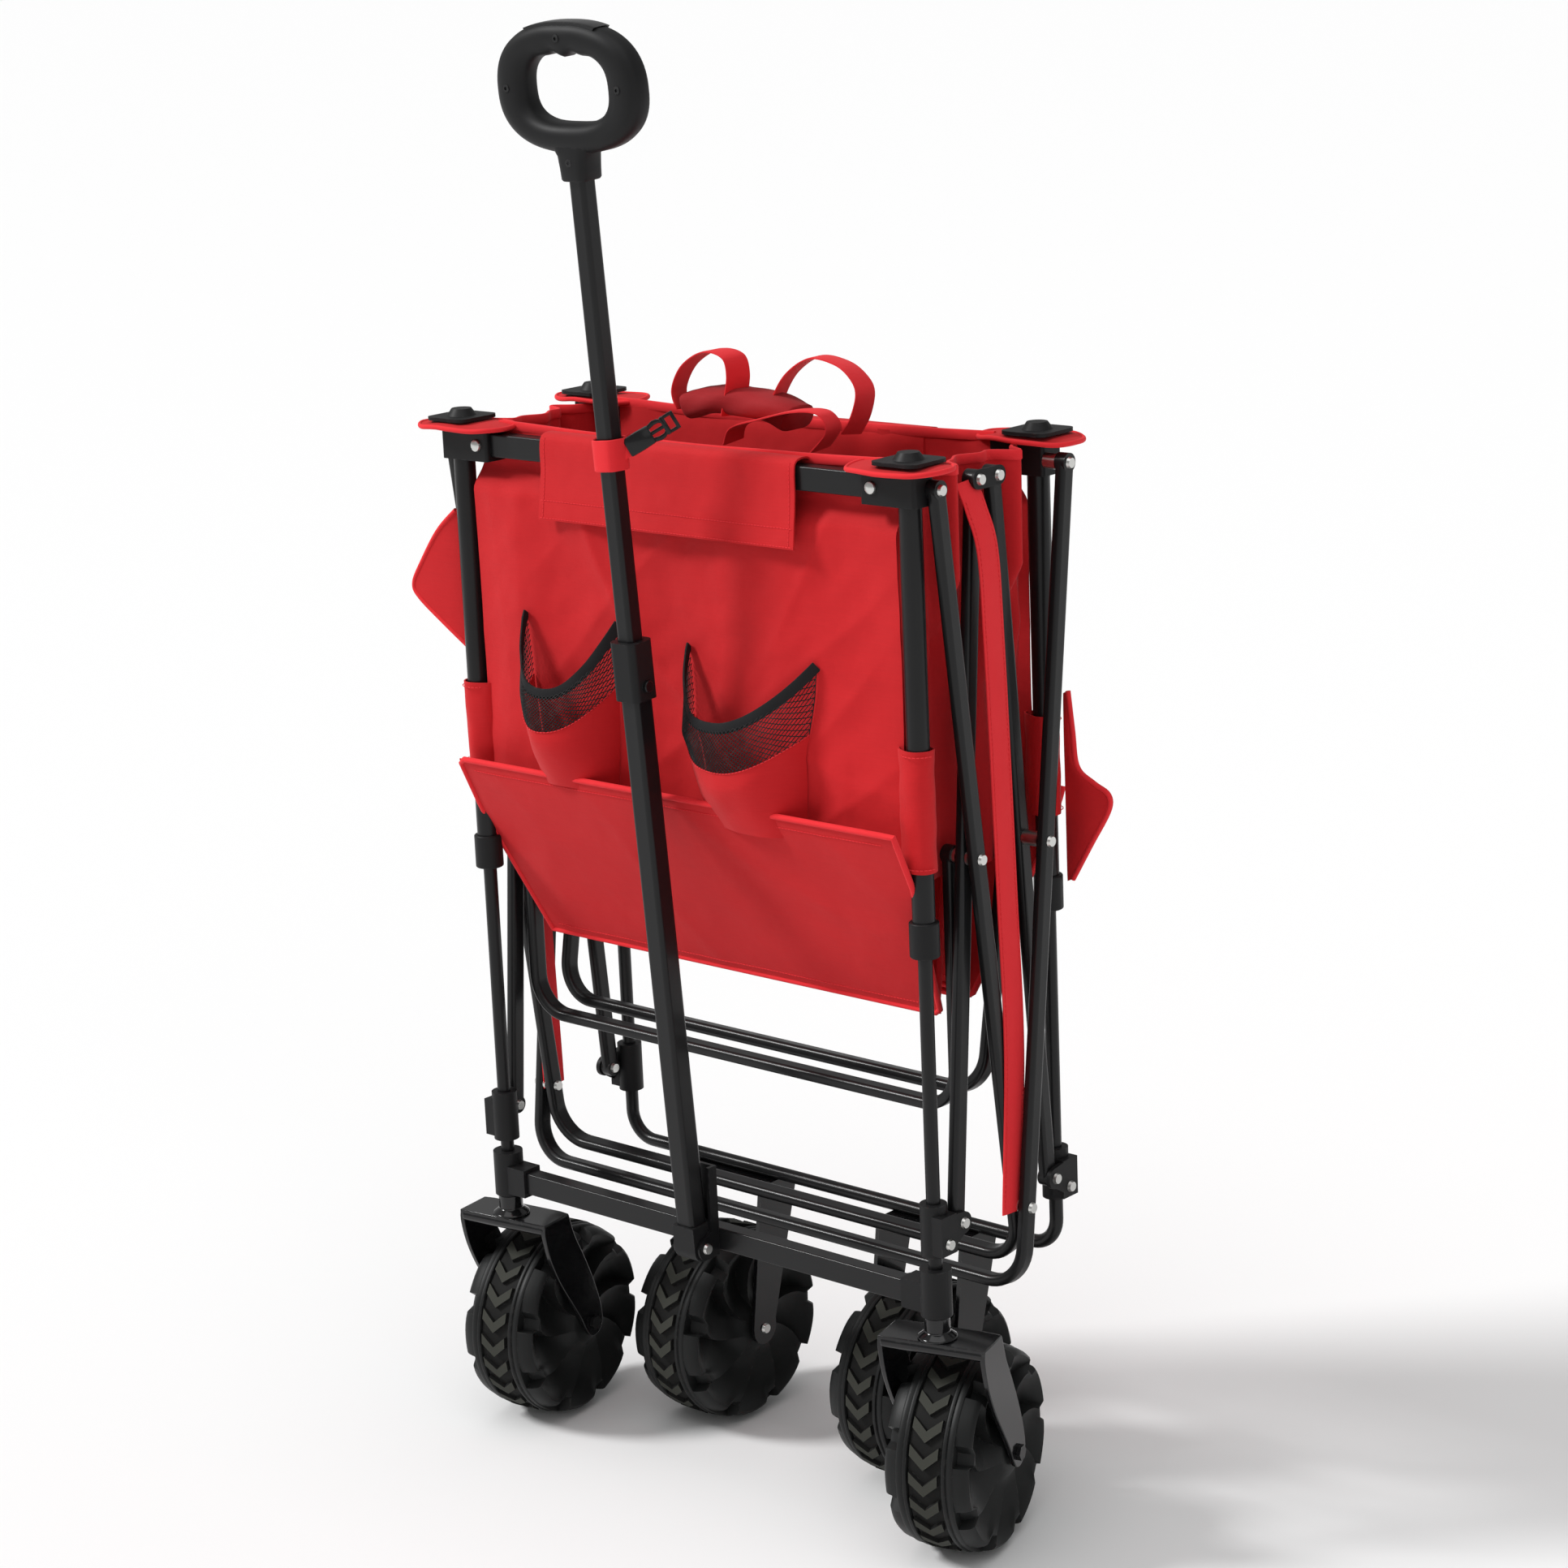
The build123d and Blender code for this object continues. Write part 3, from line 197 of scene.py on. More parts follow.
def use(tree, group, **values):
    """A node that holds a group, with the values given by its socket names."""
    node = tree.nodes.new("ShaderNodeGroup")
    node.node_tree = group
    for label, value in values.items():
        node.inputs[label.replace("_", " ")].default_value = value
    return node


def blend_colour(tree, mask, first, second):
    """Two colours mixed by a mask."""
    mix = tree.nodes.new("ShaderNodeMix")
    mix.data_type = "RGBA"
    tree.links.new(mask, mix.inputs["Factor"])
    for socket, colour in ((mix.inputs[6], first), (mix.inputs[7], second)):
        if isinstance(colour, tuple):
            socket.default_value = (*colour, 1)
        else:
            tree.links.new(colour, socket)
    return mix.outputs[2]


def bump(tree, shader, height, strength, distance):
    """Raises the surface by a height socket."""
    node = tree.nodes.new("ShaderNodeBump")
    node.inputs["Strength"].default_value = strength
    node.inputs["Distance"].default_value = distance
    tree.links.new(height, node.inputs["Height"])
    tree.links.new(node.outputs["Normal"], shader.inputs["Normal"])


def hard_finish(name, colour, worn, rough, grain, grain_depth, metal=0.0, coat=0.0, wear=0.0015):
    """Paint, plastic or metal: grain, uneven gloss, worn edges and a breath of dust."""
    material, tree, shader = finish_tree(name)
    shader.inputs["Metallic"].default_value = metal
    shader.inputs["Coat Weight"].default_value = coat
    shader.inputs["Coat Roughness"].default_value = 0.12
    shader.inputs["Specular IOR Level"].default_value = 0.5 if metal else 0.20
    edges = use(tree, worn_edge, Width=wear)
    dusty = use(tree, dust, Scale=11.0)
    shade = blend_colour(tree, edges.outputs["Mask"], colour, worn)
    pale = tuple(0.05 + 0.95 * c for c in colour)
    dust_mask = maths(tree, "MULTIPLY", dusty.outputs["Mask"], 0.10)
    tree.links.new(blend_colour(tree, dust_mask, shade, pale), shader.inputs["Base Color"])
    uneven = maths(tree, "MULTIPLY_ADD", mottle(tree, 35.0, 4.0), 0.14, rough - 0.07)
    uneven = maths(tree, "MULTIPLY_ADD", edges.outputs["Mask"], 0.12, uneven)
    tree.links.new(uneven, shader.inputs["Roughness"])
    bump(tree, shader, mottle(tree, grain, 2.0), 0.35, grain_depth)
    return material


PALE_EDGE = (0.03, 0.03, 0.03)
satin_black = hard_finish(
    "satin_powder_coat", (0.006, 0.006, 0.0065), PALE_EDGE, 0.36, 2600.0, 0.00006, coat=0.12)
grained_black = hard_finish(
    "grained_black_plastic", (0.008, 0.008, 0.0085), PALE_EDGE, 0.50, 1900.0, 0.00012)
smooth_black = hard_finish(
    "smooth_black_plastic", (0.005, 0.005, 0.0055), (0.025, 0.025, 0.025), 0.28, 1200.0, 0.00004, coat=0.2)
wheel_black = hard_finish(
    "blown_wheel_plastic", (0.0075, 0.008, 0.008), (0.028, 0.028, 0.026), 0.46, 900.0, 0.00010)
gloss_paint = hard_finish(
    "glossy_black_paint", (0.0035, 0.0035, 0.004), PALE_EDGE, 0.17, 500.0, 0.00002, coat=0.45)
zinc = hard_finish(
    "zinc_plate", (0.62, 0.62, 0.60), (0.75, 0.75, 0.74), 0.30, 1500.0, 0.00003, metal=1.0, wear=0.0006)
tread_grey = hard_finish(
    "grey_tread_rubber", (0.038, 0.039, 0.032), (0.06, 0.06, 0.05), 0.80, 1400.0, 0.00018)
# near black finish painted as shade in the tread's grooves and on the lug flanks
groove_shade_finish = hard_finish(
    "dark_groove_rubber", (0.007, 0.007, 0.0065), (0.02, 0.02, 0.02), 0.78, 1400.0, 0.00012)
dark_band = hard_finish(
    "dark_elastic_band", (0.012, 0.012, 0.013), PALE_EDGE, 0.75, 2400.0, 0.00020)
print("hard finishes:", len(bpy.data.materials))

# %% One maker for the cloths


def cloth_finish(name, light, deep, threads, thread_depth, rough=0.78):
    """Woven cloth: two reds mixed by thread and by patch, thread bump, fine creases and sheen."""
    material, tree, shader = finish_tree(name)
    shader.inputs["Sheen Weight"].default_value = 0.05
    shader.inputs["Sheen Roughness"].default_value = 0.5
    shader.inputs["Specular IOR Level"].default_value = 0.28
    woven = use(tree, weave, Threads=threads)
    patches = mottle(tree, 14.0, 5.0)
    mix = maths(tree, "MULTIPLY_ADD", woven.outputs["Shade"], 0.35, maths(tree, "MULTIPLY", patches, 0.5))
    body = blend_colour(tree, mix, light, deep)
    pale = tuple(min(1.0, c * 1.25 + 0.01) for c in light)
    dusty = maths(tree, "MULTIPLY", use(tree, dust, Scale=6.0).outputs["Mask"], 0.12)
    tree.links.new(blend_colour(tree, dusty, body, pale), shader.inputs["Base Color"])
    rough_map = maths(tree, "MULTIPLY_ADD", patches, 0.14, rough - 0.07)
    tree.links.new(rough_map, shader.inputs["Roughness"])
    creases = maths(tree, "MULTIPLY", mottle(tree, 38.0, 6.0), 6.0)
    height = maths(tree, "MULTIPLY_ADD", woven.outputs["Height"], 0.55, creases)
    bump(tree, shader, height, 0.5, thread_depth)
    return material


red_cloth = cloth_finish("red_oxford_cloth", (0.62, 0.008, 0.012), (0.44, 0.004, 0.007), 7000.0, 0.00035)
red_webbing = cloth_finish("red_webbing", (0.80, 0.022, 0.030), (0.66, 0.012, 0.018), 3600.0, 0.00040)
dark_wrap = cloth_finish("dark_red_wrap", (0.36, 0.008, 0.012), (0.28, 0.005, 0.008), 5200.0, 0.00040)
red_thread = cloth_finish("red_thread", (0.78, 0.03, 0.04), (0.60, 0.015, 0.02), 9000.0, 0.00005)
black_net = hard_finish("black_netting", (0.014, 0.014, 0.015), PALE_EDGE, 0.6, 3000.0, 0.00004)
print("finishes:", len(bpy.data.materials))

# %% Give every hard node of the frame its finish


def paint(material, *nodes):
    """Puts one finish on all faces of nodes of the frame."""
    for node in nodes:
        mesh = frame["nodes"][node].data
        mesh.materials.clear()
        mesh.materials.append(material)
        mesh.polygons.foreach_set("material_index", [0] * len(mesh.polygons))


paint(satin_black, "front_lower_crossbar", "front_lower_posts", "handle_bracket", "rear_lower_tube")
paint(satin_black, "bow_front", "bow_rear", "bars_front", "bars_rear", "floor_bow_front", "floor_bow_rear")
for end in ("front", "rear"):
    paint(satin_black, f"{end}_top_crossbar", f"{end}_upper_posts")
    for moulding in ("sliders", "corner_brackets", "collars", "corner_caps"):
        paint(grained_black, f"{end}_{moulding}")
paint(grained_black, "front_tees", "top_links", "handle_boot", "handle_collar")
paint(satin_black, "handle_lower_tube", "handle_upper_tube")
paint(smooth_black, "handle_button", "caster_bolts_left", "caster_bolts_right")
paint(gloss_paint, "caster_fork_left", "caster_fork_right", "rear_forks")
paint(zinc, "front_lower_rivets", "rear_bolts", "bow_front_pins", "bow_rear_pins")
paint(zinc, "bars_front_pins", "bars_rear_pins")
print("painted", sum(1 for node in frame["nodes"].values() if len(node.data.materials) == 1), "nodes")

# %% [markdown]
# ## Making pieces
# A piece is a mesh whose points are already where they belong, with faces that point outwards, one
# finish and one body to ride on. Strips such as webbing, piping and hems all have the same make-up, a
# small section carried along a line, so one helper makes them.

# %% Helpers for meshes


def joint_named(name):
    """The frame's joint with this name."""
    return next(joint for joint in frame["joints"] if joint["name"] == name)


def squarish(angle, across=1.0, up=1.0):
    """A point of the unit circle, pushed out towards a square by powers below one."""
    c, s = math.cos(angle), math.sin(angle)
    return math.copysign(abs(c) ** across, c), math.copysign(abs(s) ** up, s)


def full_turn(count):
    """Angles evenly spaced round a circle."""
    return [2 * math.pi * k / count for k in range(count)]


def add_piece(name, points, faces, material, body=None, slot=None, angle=50):
    """A mesh object with outward faces, smooth but for corners sharper than the angle."""
    mesh = bpy.data.meshes.new(name)
    mesh.from_pydata([tuple(p) for p in points], [], faces)
    work = bmesh.new()
    work.from_mesh(mesh)
    bmesh.ops.remove_doubles(work, verts=work.verts, dist=1e-7)
    bmesh.ops.recalc_face_normals(work, faces=work.faces)
    work.to_mesh(mesh)
    work.free()
    mesh.polygons.foreach_set("use_smooth", [True] * len(mesh.polygons))
    mesh.set_sharp_from_angle(angle=math.radians(angle))
    mesh.materials.append(material)
    thing = bpy.data.objects.new(name, mesh)
    bpy.context.scene.collection.objects.link(thing)
    if body:
        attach(thing, body)
    return thing


def grid_faces(rows, columns, wrap_rows=False, wrap_columns=False):
    """Quads between the points of a grid stored row by row."""
    faces = []
    for i in range(rows if wrap_rows else rows - 1):
        for j in range(columns if wrap_columns else columns - 1):
            a, b = i * columns + j, i * columns + (j + 1) % columns
            c = ((i + 1) % rows) * columns
            faces.append((a, b, c + (j + 1) % columns, c + j))
    return faces

def rim_of(rows, columns):
    """The places round the edge of a grid, in order."""
    rim = [j * columns for j in range(rows)]
    rim += [(rows - 1) * columns + i for i in range(1, columns)]
    rim += [j * columns + columns - 1 for j in range(rows - 2, -1, -1)]
    return rim + list(range(columns - 2, 0, -1))


def two_skins(rows, columns):
    """Faces of a front and a back grid, joined by a rim round their edges."""
    back = rows * columns
    front = grid_faces(rows, columns)
    rim = rim_of(rows, columns)
    faces = front + [tuple(back + k for k in reversed(face)) for face in front]
    return faces + [(a, b, back + b, back + a) for a, b in zip(rim, rim[1:] + rim[:1])]


def add_rings(points, faces, rings, capped=True):
    """Joins rings of points, one after another, into a skin that can be closed at its ends."""
    start, count = len(points), len(rings[0])
    for ring in rings:
        points += ring
    skin = grid_faces(len(rings), count, wrap_columns=True)
    faces += [tuple(start + k for k in face) for face in skin]
    if capped:
        faces.append(tuple(start + k for k in range(count)))
        faces.append(tuple(len(points) - count + k for k in range(count)))


def smooth_line(points, steps=8):
    """A Catmull-Rom line through the points, step by step."""
    line = []
    for i in range(len(points) - 1):
        p0 = points[max(i - 1, 0)]
        p1, p2 = points[i], points[i + 1]
        p3 = points[min(i + 2, len(points) - 1)]
        for k in range(steps):
            t = k / steps
            line.append(
                0.5 * ((2 * p1) + (p2 - p0) * t + (2 * p0 - 5 * p1 + 4 * p2 - p3) * t * t
                       + (3 * p1 - p0 - 3 * p2 + p3) * t**3)
            )
    line.append(points[-1].copy())
    return line

def direction(line, i):
    """Which way a line runs at its point i."""
    return (line[min(i + 1, len(line) - 1)] - line[max(i - 1, 0)]).normalized()


def strip(name, line, side, width, thickness, material, body=None, slot=None, round_section=False):
    """Carries a flat or round section along a line; side is the width's direction, or one per point."""
    count, powers = (10, (1.0, 1.0)) if round_section else (8, (0.35, 0.6))
    section = [squarish(2 * math.pi * (k + 0.5) / count, *powers) for k in range(count)]
    sides = side if isinstance(side, list) else [side] * len(line)
    rings = []
    for i, p in enumerate(line):
        run = direction(line, i)
        across = (sides[i] - run * sides[i].dot(run)).normalized()
        out = run.cross(across)
        rings.append([p + across * (c * width / 2) + out * (s * thickness / 2) for c, s in section])
    points, faces = [], []
    add_rings(points, faces, rings)
    return add_piece(name, points, faces, material, body, slot)


def cloth(name, shape, nu, nv, thickness, material, body=None, slot=None):
    """A closed skin: the surface shape(u, v), its back at the cloth's thickness, and a rim."""
    rows = [[shape(i / (nu - 1), j / (nv - 1)) for i in range(nu)] for j in range(nv)]
    front, back = [], []
    for j in range(nv):
        for i in range(nu):
            du = rows[j][min(i + 1, nu - 1)] - rows[j][max(i - 1, 0)]
            dv = rows[min(j + 1, nv - 1)][i] - rows[max(j - 1, 0)][i]
            out = du.cross(dv).normalized() * (thickness / 2)
            front.append(rows[j][i] + out)
            back.append(rows[j][i] - out)
    return add_piece(name, front + back, two_skins(nv, nu), material, body, slot, angle=60)


def applied(source):
    """The mesh of an object with its modifiers worked out; the object itself is taken away."""
    bpy.context.view_layer.update()
    shown = source.evaluated_get(bpy.context.evaluated_depsgraph_get())
    mesh = bpy.data.meshes.new_from_object(shown)
    bpy.data.objects.remove(source)
    return mesh


def settle(name, source, body):
    """Turns an object and its modifiers into one plain mesh that rides on a body."""
    made = bpy.data.objects.new(name, applied(source))
    made.data.name = name
    bpy.context.scene.collection.objects.link(made)
    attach(made, body)
    return made


def line_object(points, edges):
    """An object of points and edges alone, for a tree to work on."""
    mesh = bpy.data.meshes.new("guide_line")
    mesh.from_pydata([tuple(p) for p in points], edges, [])
    source = bpy.data.objects.new("guide_line", mesh)
    bpy.context.scene.collection.objects.link(source)
    return source


def soft_noise(p, scale, seed=0.0):
    """Smooth noise of a point in metres, from -1 to 1."""
    return noise.noise(p * scale + Vector((seed, seed * 0.7, -seed)))


def crease(p, scale, seed=0.0):
    """A ridge where the noise crosses zero: the sharp fold of creased cloth."""
    return (1 - abs(soft_noise(p, scale, seed))) ** 6


print("a full turn of ten:", [round(a, 2) for a in full_turn(10)])

# %% [markdown]
# ## What repeats: Geometry Nodes
# Tread lugs go round a wheel, stitches along a seam and netting cords over a pocket. Copying meshes in
# a loop would do, but a node tree keeps the rule in sight: how many, how far apart, which shape. Each
# tree takes its sizes as named inputs and ends in real geometry.

# %% A tree that sets a shape round an axle, and one that sews along a line


def geometry_tree(name, inputs):
    """A Geometry Nodes tree with its input and output and the named inputs."""
    tree = bpy.data.node_groups.new(name, "GeometryNodeTree")
    tree.interface.new_socket("Geometry", in_out="INPUT", socket_type="NodeSocketGeometry")
    for label, kind in inputs:
        tree.interface.new_socket(label, in_out="INPUT", socket_type=kind)
    tree.interface.new_socket("Geometry", in_out="OUTPUT", socket_type="NodeSocketGeometry")
    return tree, tree.nodes.new("NodeGroupInput"), tree.nodes.new("NodeGroupOutput")


def end_tree(tree, enter, leave, geometry):
    """Realize Instances, Set Material, output."""
    real = tree.nodes.new("GeometryNodeRealizeInstances")
    dress = tree.nodes.new("GeometryNodeSetMaterial")
    tree.links.new(geometry, real.inputs[0])
    tree.links.new(real.outputs[0], dress.inputs["Geometry"])
    tree.links.new(enter.outputs["Material"], dress.inputs["Material"])
    tree.links.new(dress.outputs[0], leave.inputs[0])


round_axle, enter, leave = geometry_tree(
    "round_the_axle", [("Count", "NodeSocketInt"), ("Material", "NodeSocketMaterial")]
)
seats = round_axle.nodes.new("GeometryNodePoints")
number = round_axle.nodes.new("GeometryNodeInputIndex")
turn = round_axle.nodes.new("ShaderNodeMath")
turn.operation = "DIVIDE"
full = round_axle.nodes.new("ShaderNodeMath")
full.operation = "MULTIPLY"
full.inputs[1].default_value = 2 * math.pi
angles = round_axle.nodes.new("ShaderNodeCombineXYZ")
copies = round_axle.nodes.new("GeometryNodeInstanceOnPoints")
link = round_axle.links.new
link(enter.outputs["Count"], seats.inputs["Count"])
link(number.outputs[0], turn.inputs[0])
link(enter.outputs["Count"], turn.inputs[1])
link(turn.outputs[0], full.inputs[0])
link(full.outputs[0], angles.inputs["X"])
link(seats.outputs[0], copies.inputs["Points"])
link(enter.outputs["Geometry"], copies.inputs["Instance"])
link(angles.outputs[0], copies.inputs["Rotation"])
end_tree(round_axle, enter, leave, copies.outputs[0])

sew, enter, leave = geometry_tree(
    "sew_along",
    [("Pitch", "NodeSocketFloat"), ("Length", "NodeSocketFloat"), ("Thread", "NodeSocketFloat"),
     ("Material", "NodeSocketMaterial")],
)
link = sew.links.new
seam = sew.nodes.new("GeometryNodeMeshToCurve")
evenly = sew.nodes.new("GeometryNodeResampleCurve")
evenly.mode = "LENGTH"
along = sew.nodes.new("GeometryNodeInputTangent")
aim = sew.nodes.new("FunctionNodeAlignRotationToVector")
aim.axis = "Z"
stitch = sew.nodes.new("GeometryNodeMeshCylinder")
stitch.inputs["Vertices"].default_value = 6
copies = sew.nodes.new("GeometryNodeInstanceOnPoints")
link(enter.outputs["Geometry"], seam.inputs[0])
link(seam.outputs[0], evenly.inputs["Curve"])
link(enter.outputs["Pitch"], evenly.inputs["Length"])
link(enter.outputs["Length"], stitch.inputs["Depth"])
link(enter.outputs["Thread"], stitch.inputs["Radius"])
link(along.outputs[0], aim.inputs["Vector"])
link(evenly.outputs[0], copies.inputs["Points"])
link(stitch.outputs["Mesh"], copies.inputs["Instance"])
link(aim.outputs[0], copies.inputs["Rotation"])
end_tree(sew, enter, leave, copies.outputs[0])

knit, enter, leave = geometry_tree(
    "knit_net", [("Cord", "NodeSocketFloat"), ("Material", "NodeSocketMaterial")]
)
link = knit.links.new
cords = knit.nodes.new("GeometryNodeMeshToCurve")
section = knit.nodes.new("GeometryNodeCurvePrimitiveCircle")
section.inputs["Resolution"].default_value = 4
body_of_cord = knit.nodes.new("GeometryNodeCurveToMesh")
link(enter.outputs["Geometry"], cords.inputs[0])
link(enter.outputs["Cord"], section.inputs["Radius"])
link(cords.outputs[0], body_of_cord.inputs["Curve"])
link(section.outputs[0], body_of_cord.inputs["Profile Curve"])
end_tree(knit, enter, leave, body_of_cord.outputs[0])


def run_tree(source, tree, **values):
    """Adds the tree to an object and sets its inputs by their identifiers."""
    modifier = source.modifiers.new(tree.name, "NODES")
    modifier.node_group = tree
    for item in tree.interface.items_tree:
        if item.item_type == "SOCKET" and item.in_out == "INPUT" and item.name in values:
            modifier[item.identifier] = values[item.name]
    return source


def sew_seam(name, line, body, pitch=0.0034, length=0.0024, thread=0.00042):
    """A row of stitches along a line of points."""
    source = line_object(line, [(i, i + 1) for i in range(len(line) - 1)])
    run_tree(source, sew, Pitch=pitch, Length=length, Thread=thread, Material=red_thread)
    return settle(name, source, body)


print("trees:", round_axle.name, sew.name, knit.name)

# %% [markdown]
# ## Wheels
# Each wheel is blown from hard black plastic: rounded shoulders with two ribs, a rim cut in nine saw
# teeth and a dished side whose blades twist towards the hub. A grey rubber band with chevron lugs runs
# round the middle. The section changes with the angle, so the body is a grid of sections round the
# axle, pushed in by the place inside each tooth; a plain lathe could not do that.

# %% The wheel's body
TEETH = 9
WHEEL_R = 0.090
TOOTH_DEPTH = 0.0092
BLADE_DEPTH = 0.0150
TOOTH_FACE = 0.19
TOOTH_BACK = 0.215
BLADE_STEP = 0.965
# half of the section, from the middle of the tread to the bore: across, radius, tooth cut, blade cut
SECTION = [
    (0.0, 0.0822, 0, 0), (0.0150, 0.0822, 0, 0), (0.0152, 0.0870, 0, 0), (0.0160, 0.0884, 0, 0),
    (0.0176, 0.0890, 0, 0), (0.0190, 0.0886, 0, 0), (0.0197, 0.0874, 0, 0), (0.0203, 0.0876, 0, 0),
    (0.0225, 0.0880, 0, 0), (0.0248, 0.0878, 0, 0), (0.0256, 0.0872, 0, 0), (0.0257, 0.0870, 1.0, 0),
    (0.0300, 0.0862, 1.05, 0), (0.0345, 0.0848, 1.1, 0), (0.0372, 0.0830, 1.1, 0),
    (0.0385, 0.0808, 1.0, 0), (0.0386, 0.0780, 0.9, 0.10), (0.0382, 0.0720, 0.6, 0.45),
    (0.0376, 0.0640, 0.25, 0.85), (0.0368, 0.0540, 0, 1.0), (0.0362, 0.0430, 0, 0.9),
    (0.0366, 0.0330, 0, 0.6), (0.0385, 0.0250, 0, 0.2), (0.0410, 0.0205, 0, 0),
    (0.0422, 0.0170, 0, 0), (0.0424, 0.0110, 0, 0), (0.0424, 0.0043, 0, 0),
]
TOOTH_STEPS = [0.0, 0.06, 0.12, 0.18, 0.19, 0.215, 0.30, 0.40, 0.50, 0.60, 0.70, 0.80, 0.90]
def tooth_cut(phase):
    """How far the rim is cut back at this place in a tooth, 0 to 1."""
    if phase < TOOTH_FACE:
        return 1.0
    if phase < TOOTH_BACK:
        return (TOOTH_BACK - phase) / (TOOTH_BACK - TOOTH_FACE)
    return 0.30 * max(0.0, (phase - 0.6) / 0.4) ** 2


def blade_cut(phase):
    """How deep the blade is dished here: a sharp step, then a flat slope up to the next one."""
    after = (phase - TOOTH_BACK) % 1.0
    return 1.0 - after if after < BLADE_STEP else (after - BLADE_STEP) / (1 - BLADE_STEP)


def blade_twist(radius):
    """The share of a tooth by which a blade has turned at this radius."""
    return 0.75 * max(0.0, 0.078 - radius) / 0.078


def wheel_section(angle):
    """The points of the whole section at one place round the wheel, given in turns."""
    phase = (angle * TEETH) % 1.0
    row = []
    for x, r, tooth, blade in [(-x, *rest) for x, *rest in reversed(SECTION[1:])] + SECTION:
        radius = r - TOOTH_DEPTH * tooth * tooth_cut(phase)
        sideways = abs(x) - BLADE_DEPTH * blade * blade_cut(phase)
        # the far side runs the other way round, so that both sides cut the same way on the road
        side = math.copysign(1, x)
        a = side * 2 * math.pi * (angle + blade_twist(r) / TEETH)
        row.append(Vector((side * sideways, radius * math.cos(a), radius * math.sin(a))))
    return row


def wheel_body(name, place, body):
    """The blown body of one wheel, set at its axle."""
    rows = [wheel_section((t + s) / TEETH) for t in range(TEETH) for s in TOOTH_STEPS]
    count, middle = len(rows), len(SECTION) - 1
    points, faces = [], []
    for half in (slice(0, middle + 1), slice(middle, None)):
        start = len(points)
        points += [p for row in rows for p in row[half]]
        skin = grid_faces(count, middle + 1, wrap_rows=True)
        faces += [tuple(start + k for k in face) for face in skin]
    bore = len(points)
    for i in range(count):
        points += [rows[i][0], rows[-i][-1]]
        a, b = bore + 2 * i, bore + 2 * ((i + 1) % count)
        faces.append((a, a + 1, b + 1, b))
    points = [place @ p for p in points]
    return add_piece(name, points, faces, wheel_black, body, "gloss_black_plastic", 38)


print("wheel section:", len(SECTION), "points a side,", TEETH, "teeth")

# %% The tread band and its chevron lugs
LUGS = 24
LUG_HALF = 0.0130
LUG_BEND = 0.0112
BAND_STEPS = 96
GROOVE_R = 0.0875
BAND = [(-0.0149, 0.0820), (-0.0149, 0.0856), (-0.0143, 0.0860),
        (0.0143, 0.0860), (0.0149, 0.0856), (0.0149, 0.0820)]
LUG_BAR = [(-0.0058, 0.0845), (-0.0048, 0.0898), (0.0048, 0.0898), (0.0058, 0.0845)]


def lug_mesh():
    """One chevron lug at the top of the wheel, a bent bar with sloped sides."""
    points, faces, rings = [], [], []
    for share, bend in ((-1.0, 0.0), (-0.5, 0.0055), (0.0, LUG_BEND), (0.5, 0.0055), (1.0, 0.0)):
        turns = [((along - bend + 0.005) / WHEEL_R, radius) for along, radius in LUG_BAR]
        rings.append([(LUG_HALF * share, r * math.sin(a), r * math.cos(a)) for a, r in turns])
    add_rings(points, faces, rings)
    return points, faces


def tread_band(name, place, body):
    """The rubber band with a ring of lugs made by the tree, with painted shade between the lugs and on
    their flanks.
    """
    lug = add_piece(name + "_lug", *lug_mesh(), tread_grey)
    run_tree(lug, round_axle, Count=LUGS, Material=tread_grey)
    ring = applied(lug)
    points = []
    for a in full_turn(BAND_STEPS):
        points += [Vector((x, r * math.sin(a), r * math.cos(a))) for x, r in BAND]
    faces = grid_faces(BAND_STEPS, len(BAND), wrap_rows=True, wrap_columns=True)
    start = len(points)
    points += [v.co.copy() for v in ring.vertices]
    faces += [tuple(start + k for k in f.vertices) for f in ring.polygons]
    bpy.data.meshes.remove(ring)
    points = [place @ p for p in points]
    piece = add_piece(name, points, faces, tread_grey, body, "tread_rubber", 30)
    piece.data.materials.append(groove_shade_finish)
    turned = place.to_3x3().inverted()
    # every face below the lug tops, band and lug flanks alike, gets the painted groove shade
    for face in piece.data.polygons:
        low = turned @ (face.center - place.translation)
        if math.hypot(low.y, low.z) < GROOVE_R:
            face.material_index = 1
    return piece


for joint in frame["joints"]:
    if not joint["name"].startswith("wheel_"):
        continue
    wheel = joint["child"]
    side = wheel.replace("wheel_", "")
    swing = math.atan2(joint["axis"][1], joint["axis"][0])
    place = Matrix.Translation(joint["pos_m"]) @ Matrix.Rotation(swing, 4, "Z")
    hub = wheel_body(f"wheel_body_{side}", place, wheel)
    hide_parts(f"hub_{side}")
    band = tread_band(f"tread_{side}", place, wheel)
    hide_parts(f"tyre_{side}")
    print("wheel", side, "faces", len(hub.data.polygons), len(band.data.polygons))

# %% [markdown]
# ## Caster forks
# A caster fork is one pressed plate: a top with a rolled front edge and two curved legs. The legs are
# outlines given a thickness, and a live Bevel modifier rounds their edges so that the paint catches
# the light as it does on a pressed edge.

# %% Forks with rolled fronts and sickle legs
LEG = [
    (-14, 206), (-15, 196), (-9, 172), (3, 146), (18, 122), (31, 102), (38, 88), (44, 79), (52, 76.5),
    (60, 80), (64, 88), (64, 98), (60, 114), (52, 136), (40, 162), (29, 184), (22, 206),
]
LEG_X = 46.7
LEG_THICK = 4.4
TOP_FACE = [(-48.5, -15), (48.5, -15), (48.5, 22), (38, 24), (-38, 24), (-48.5, 22)]
TOP_Z = 204.8
TOP_THICK = 4.0
ROLL_Y, ROLL_Z, ROLL_R = -10.0, 200.9, 5.9
BOSS = [(17.0, 206.9), (17.0, 208.6), (12.5, 212.0), (11.0, 213.0), (11.0, 226.0)]


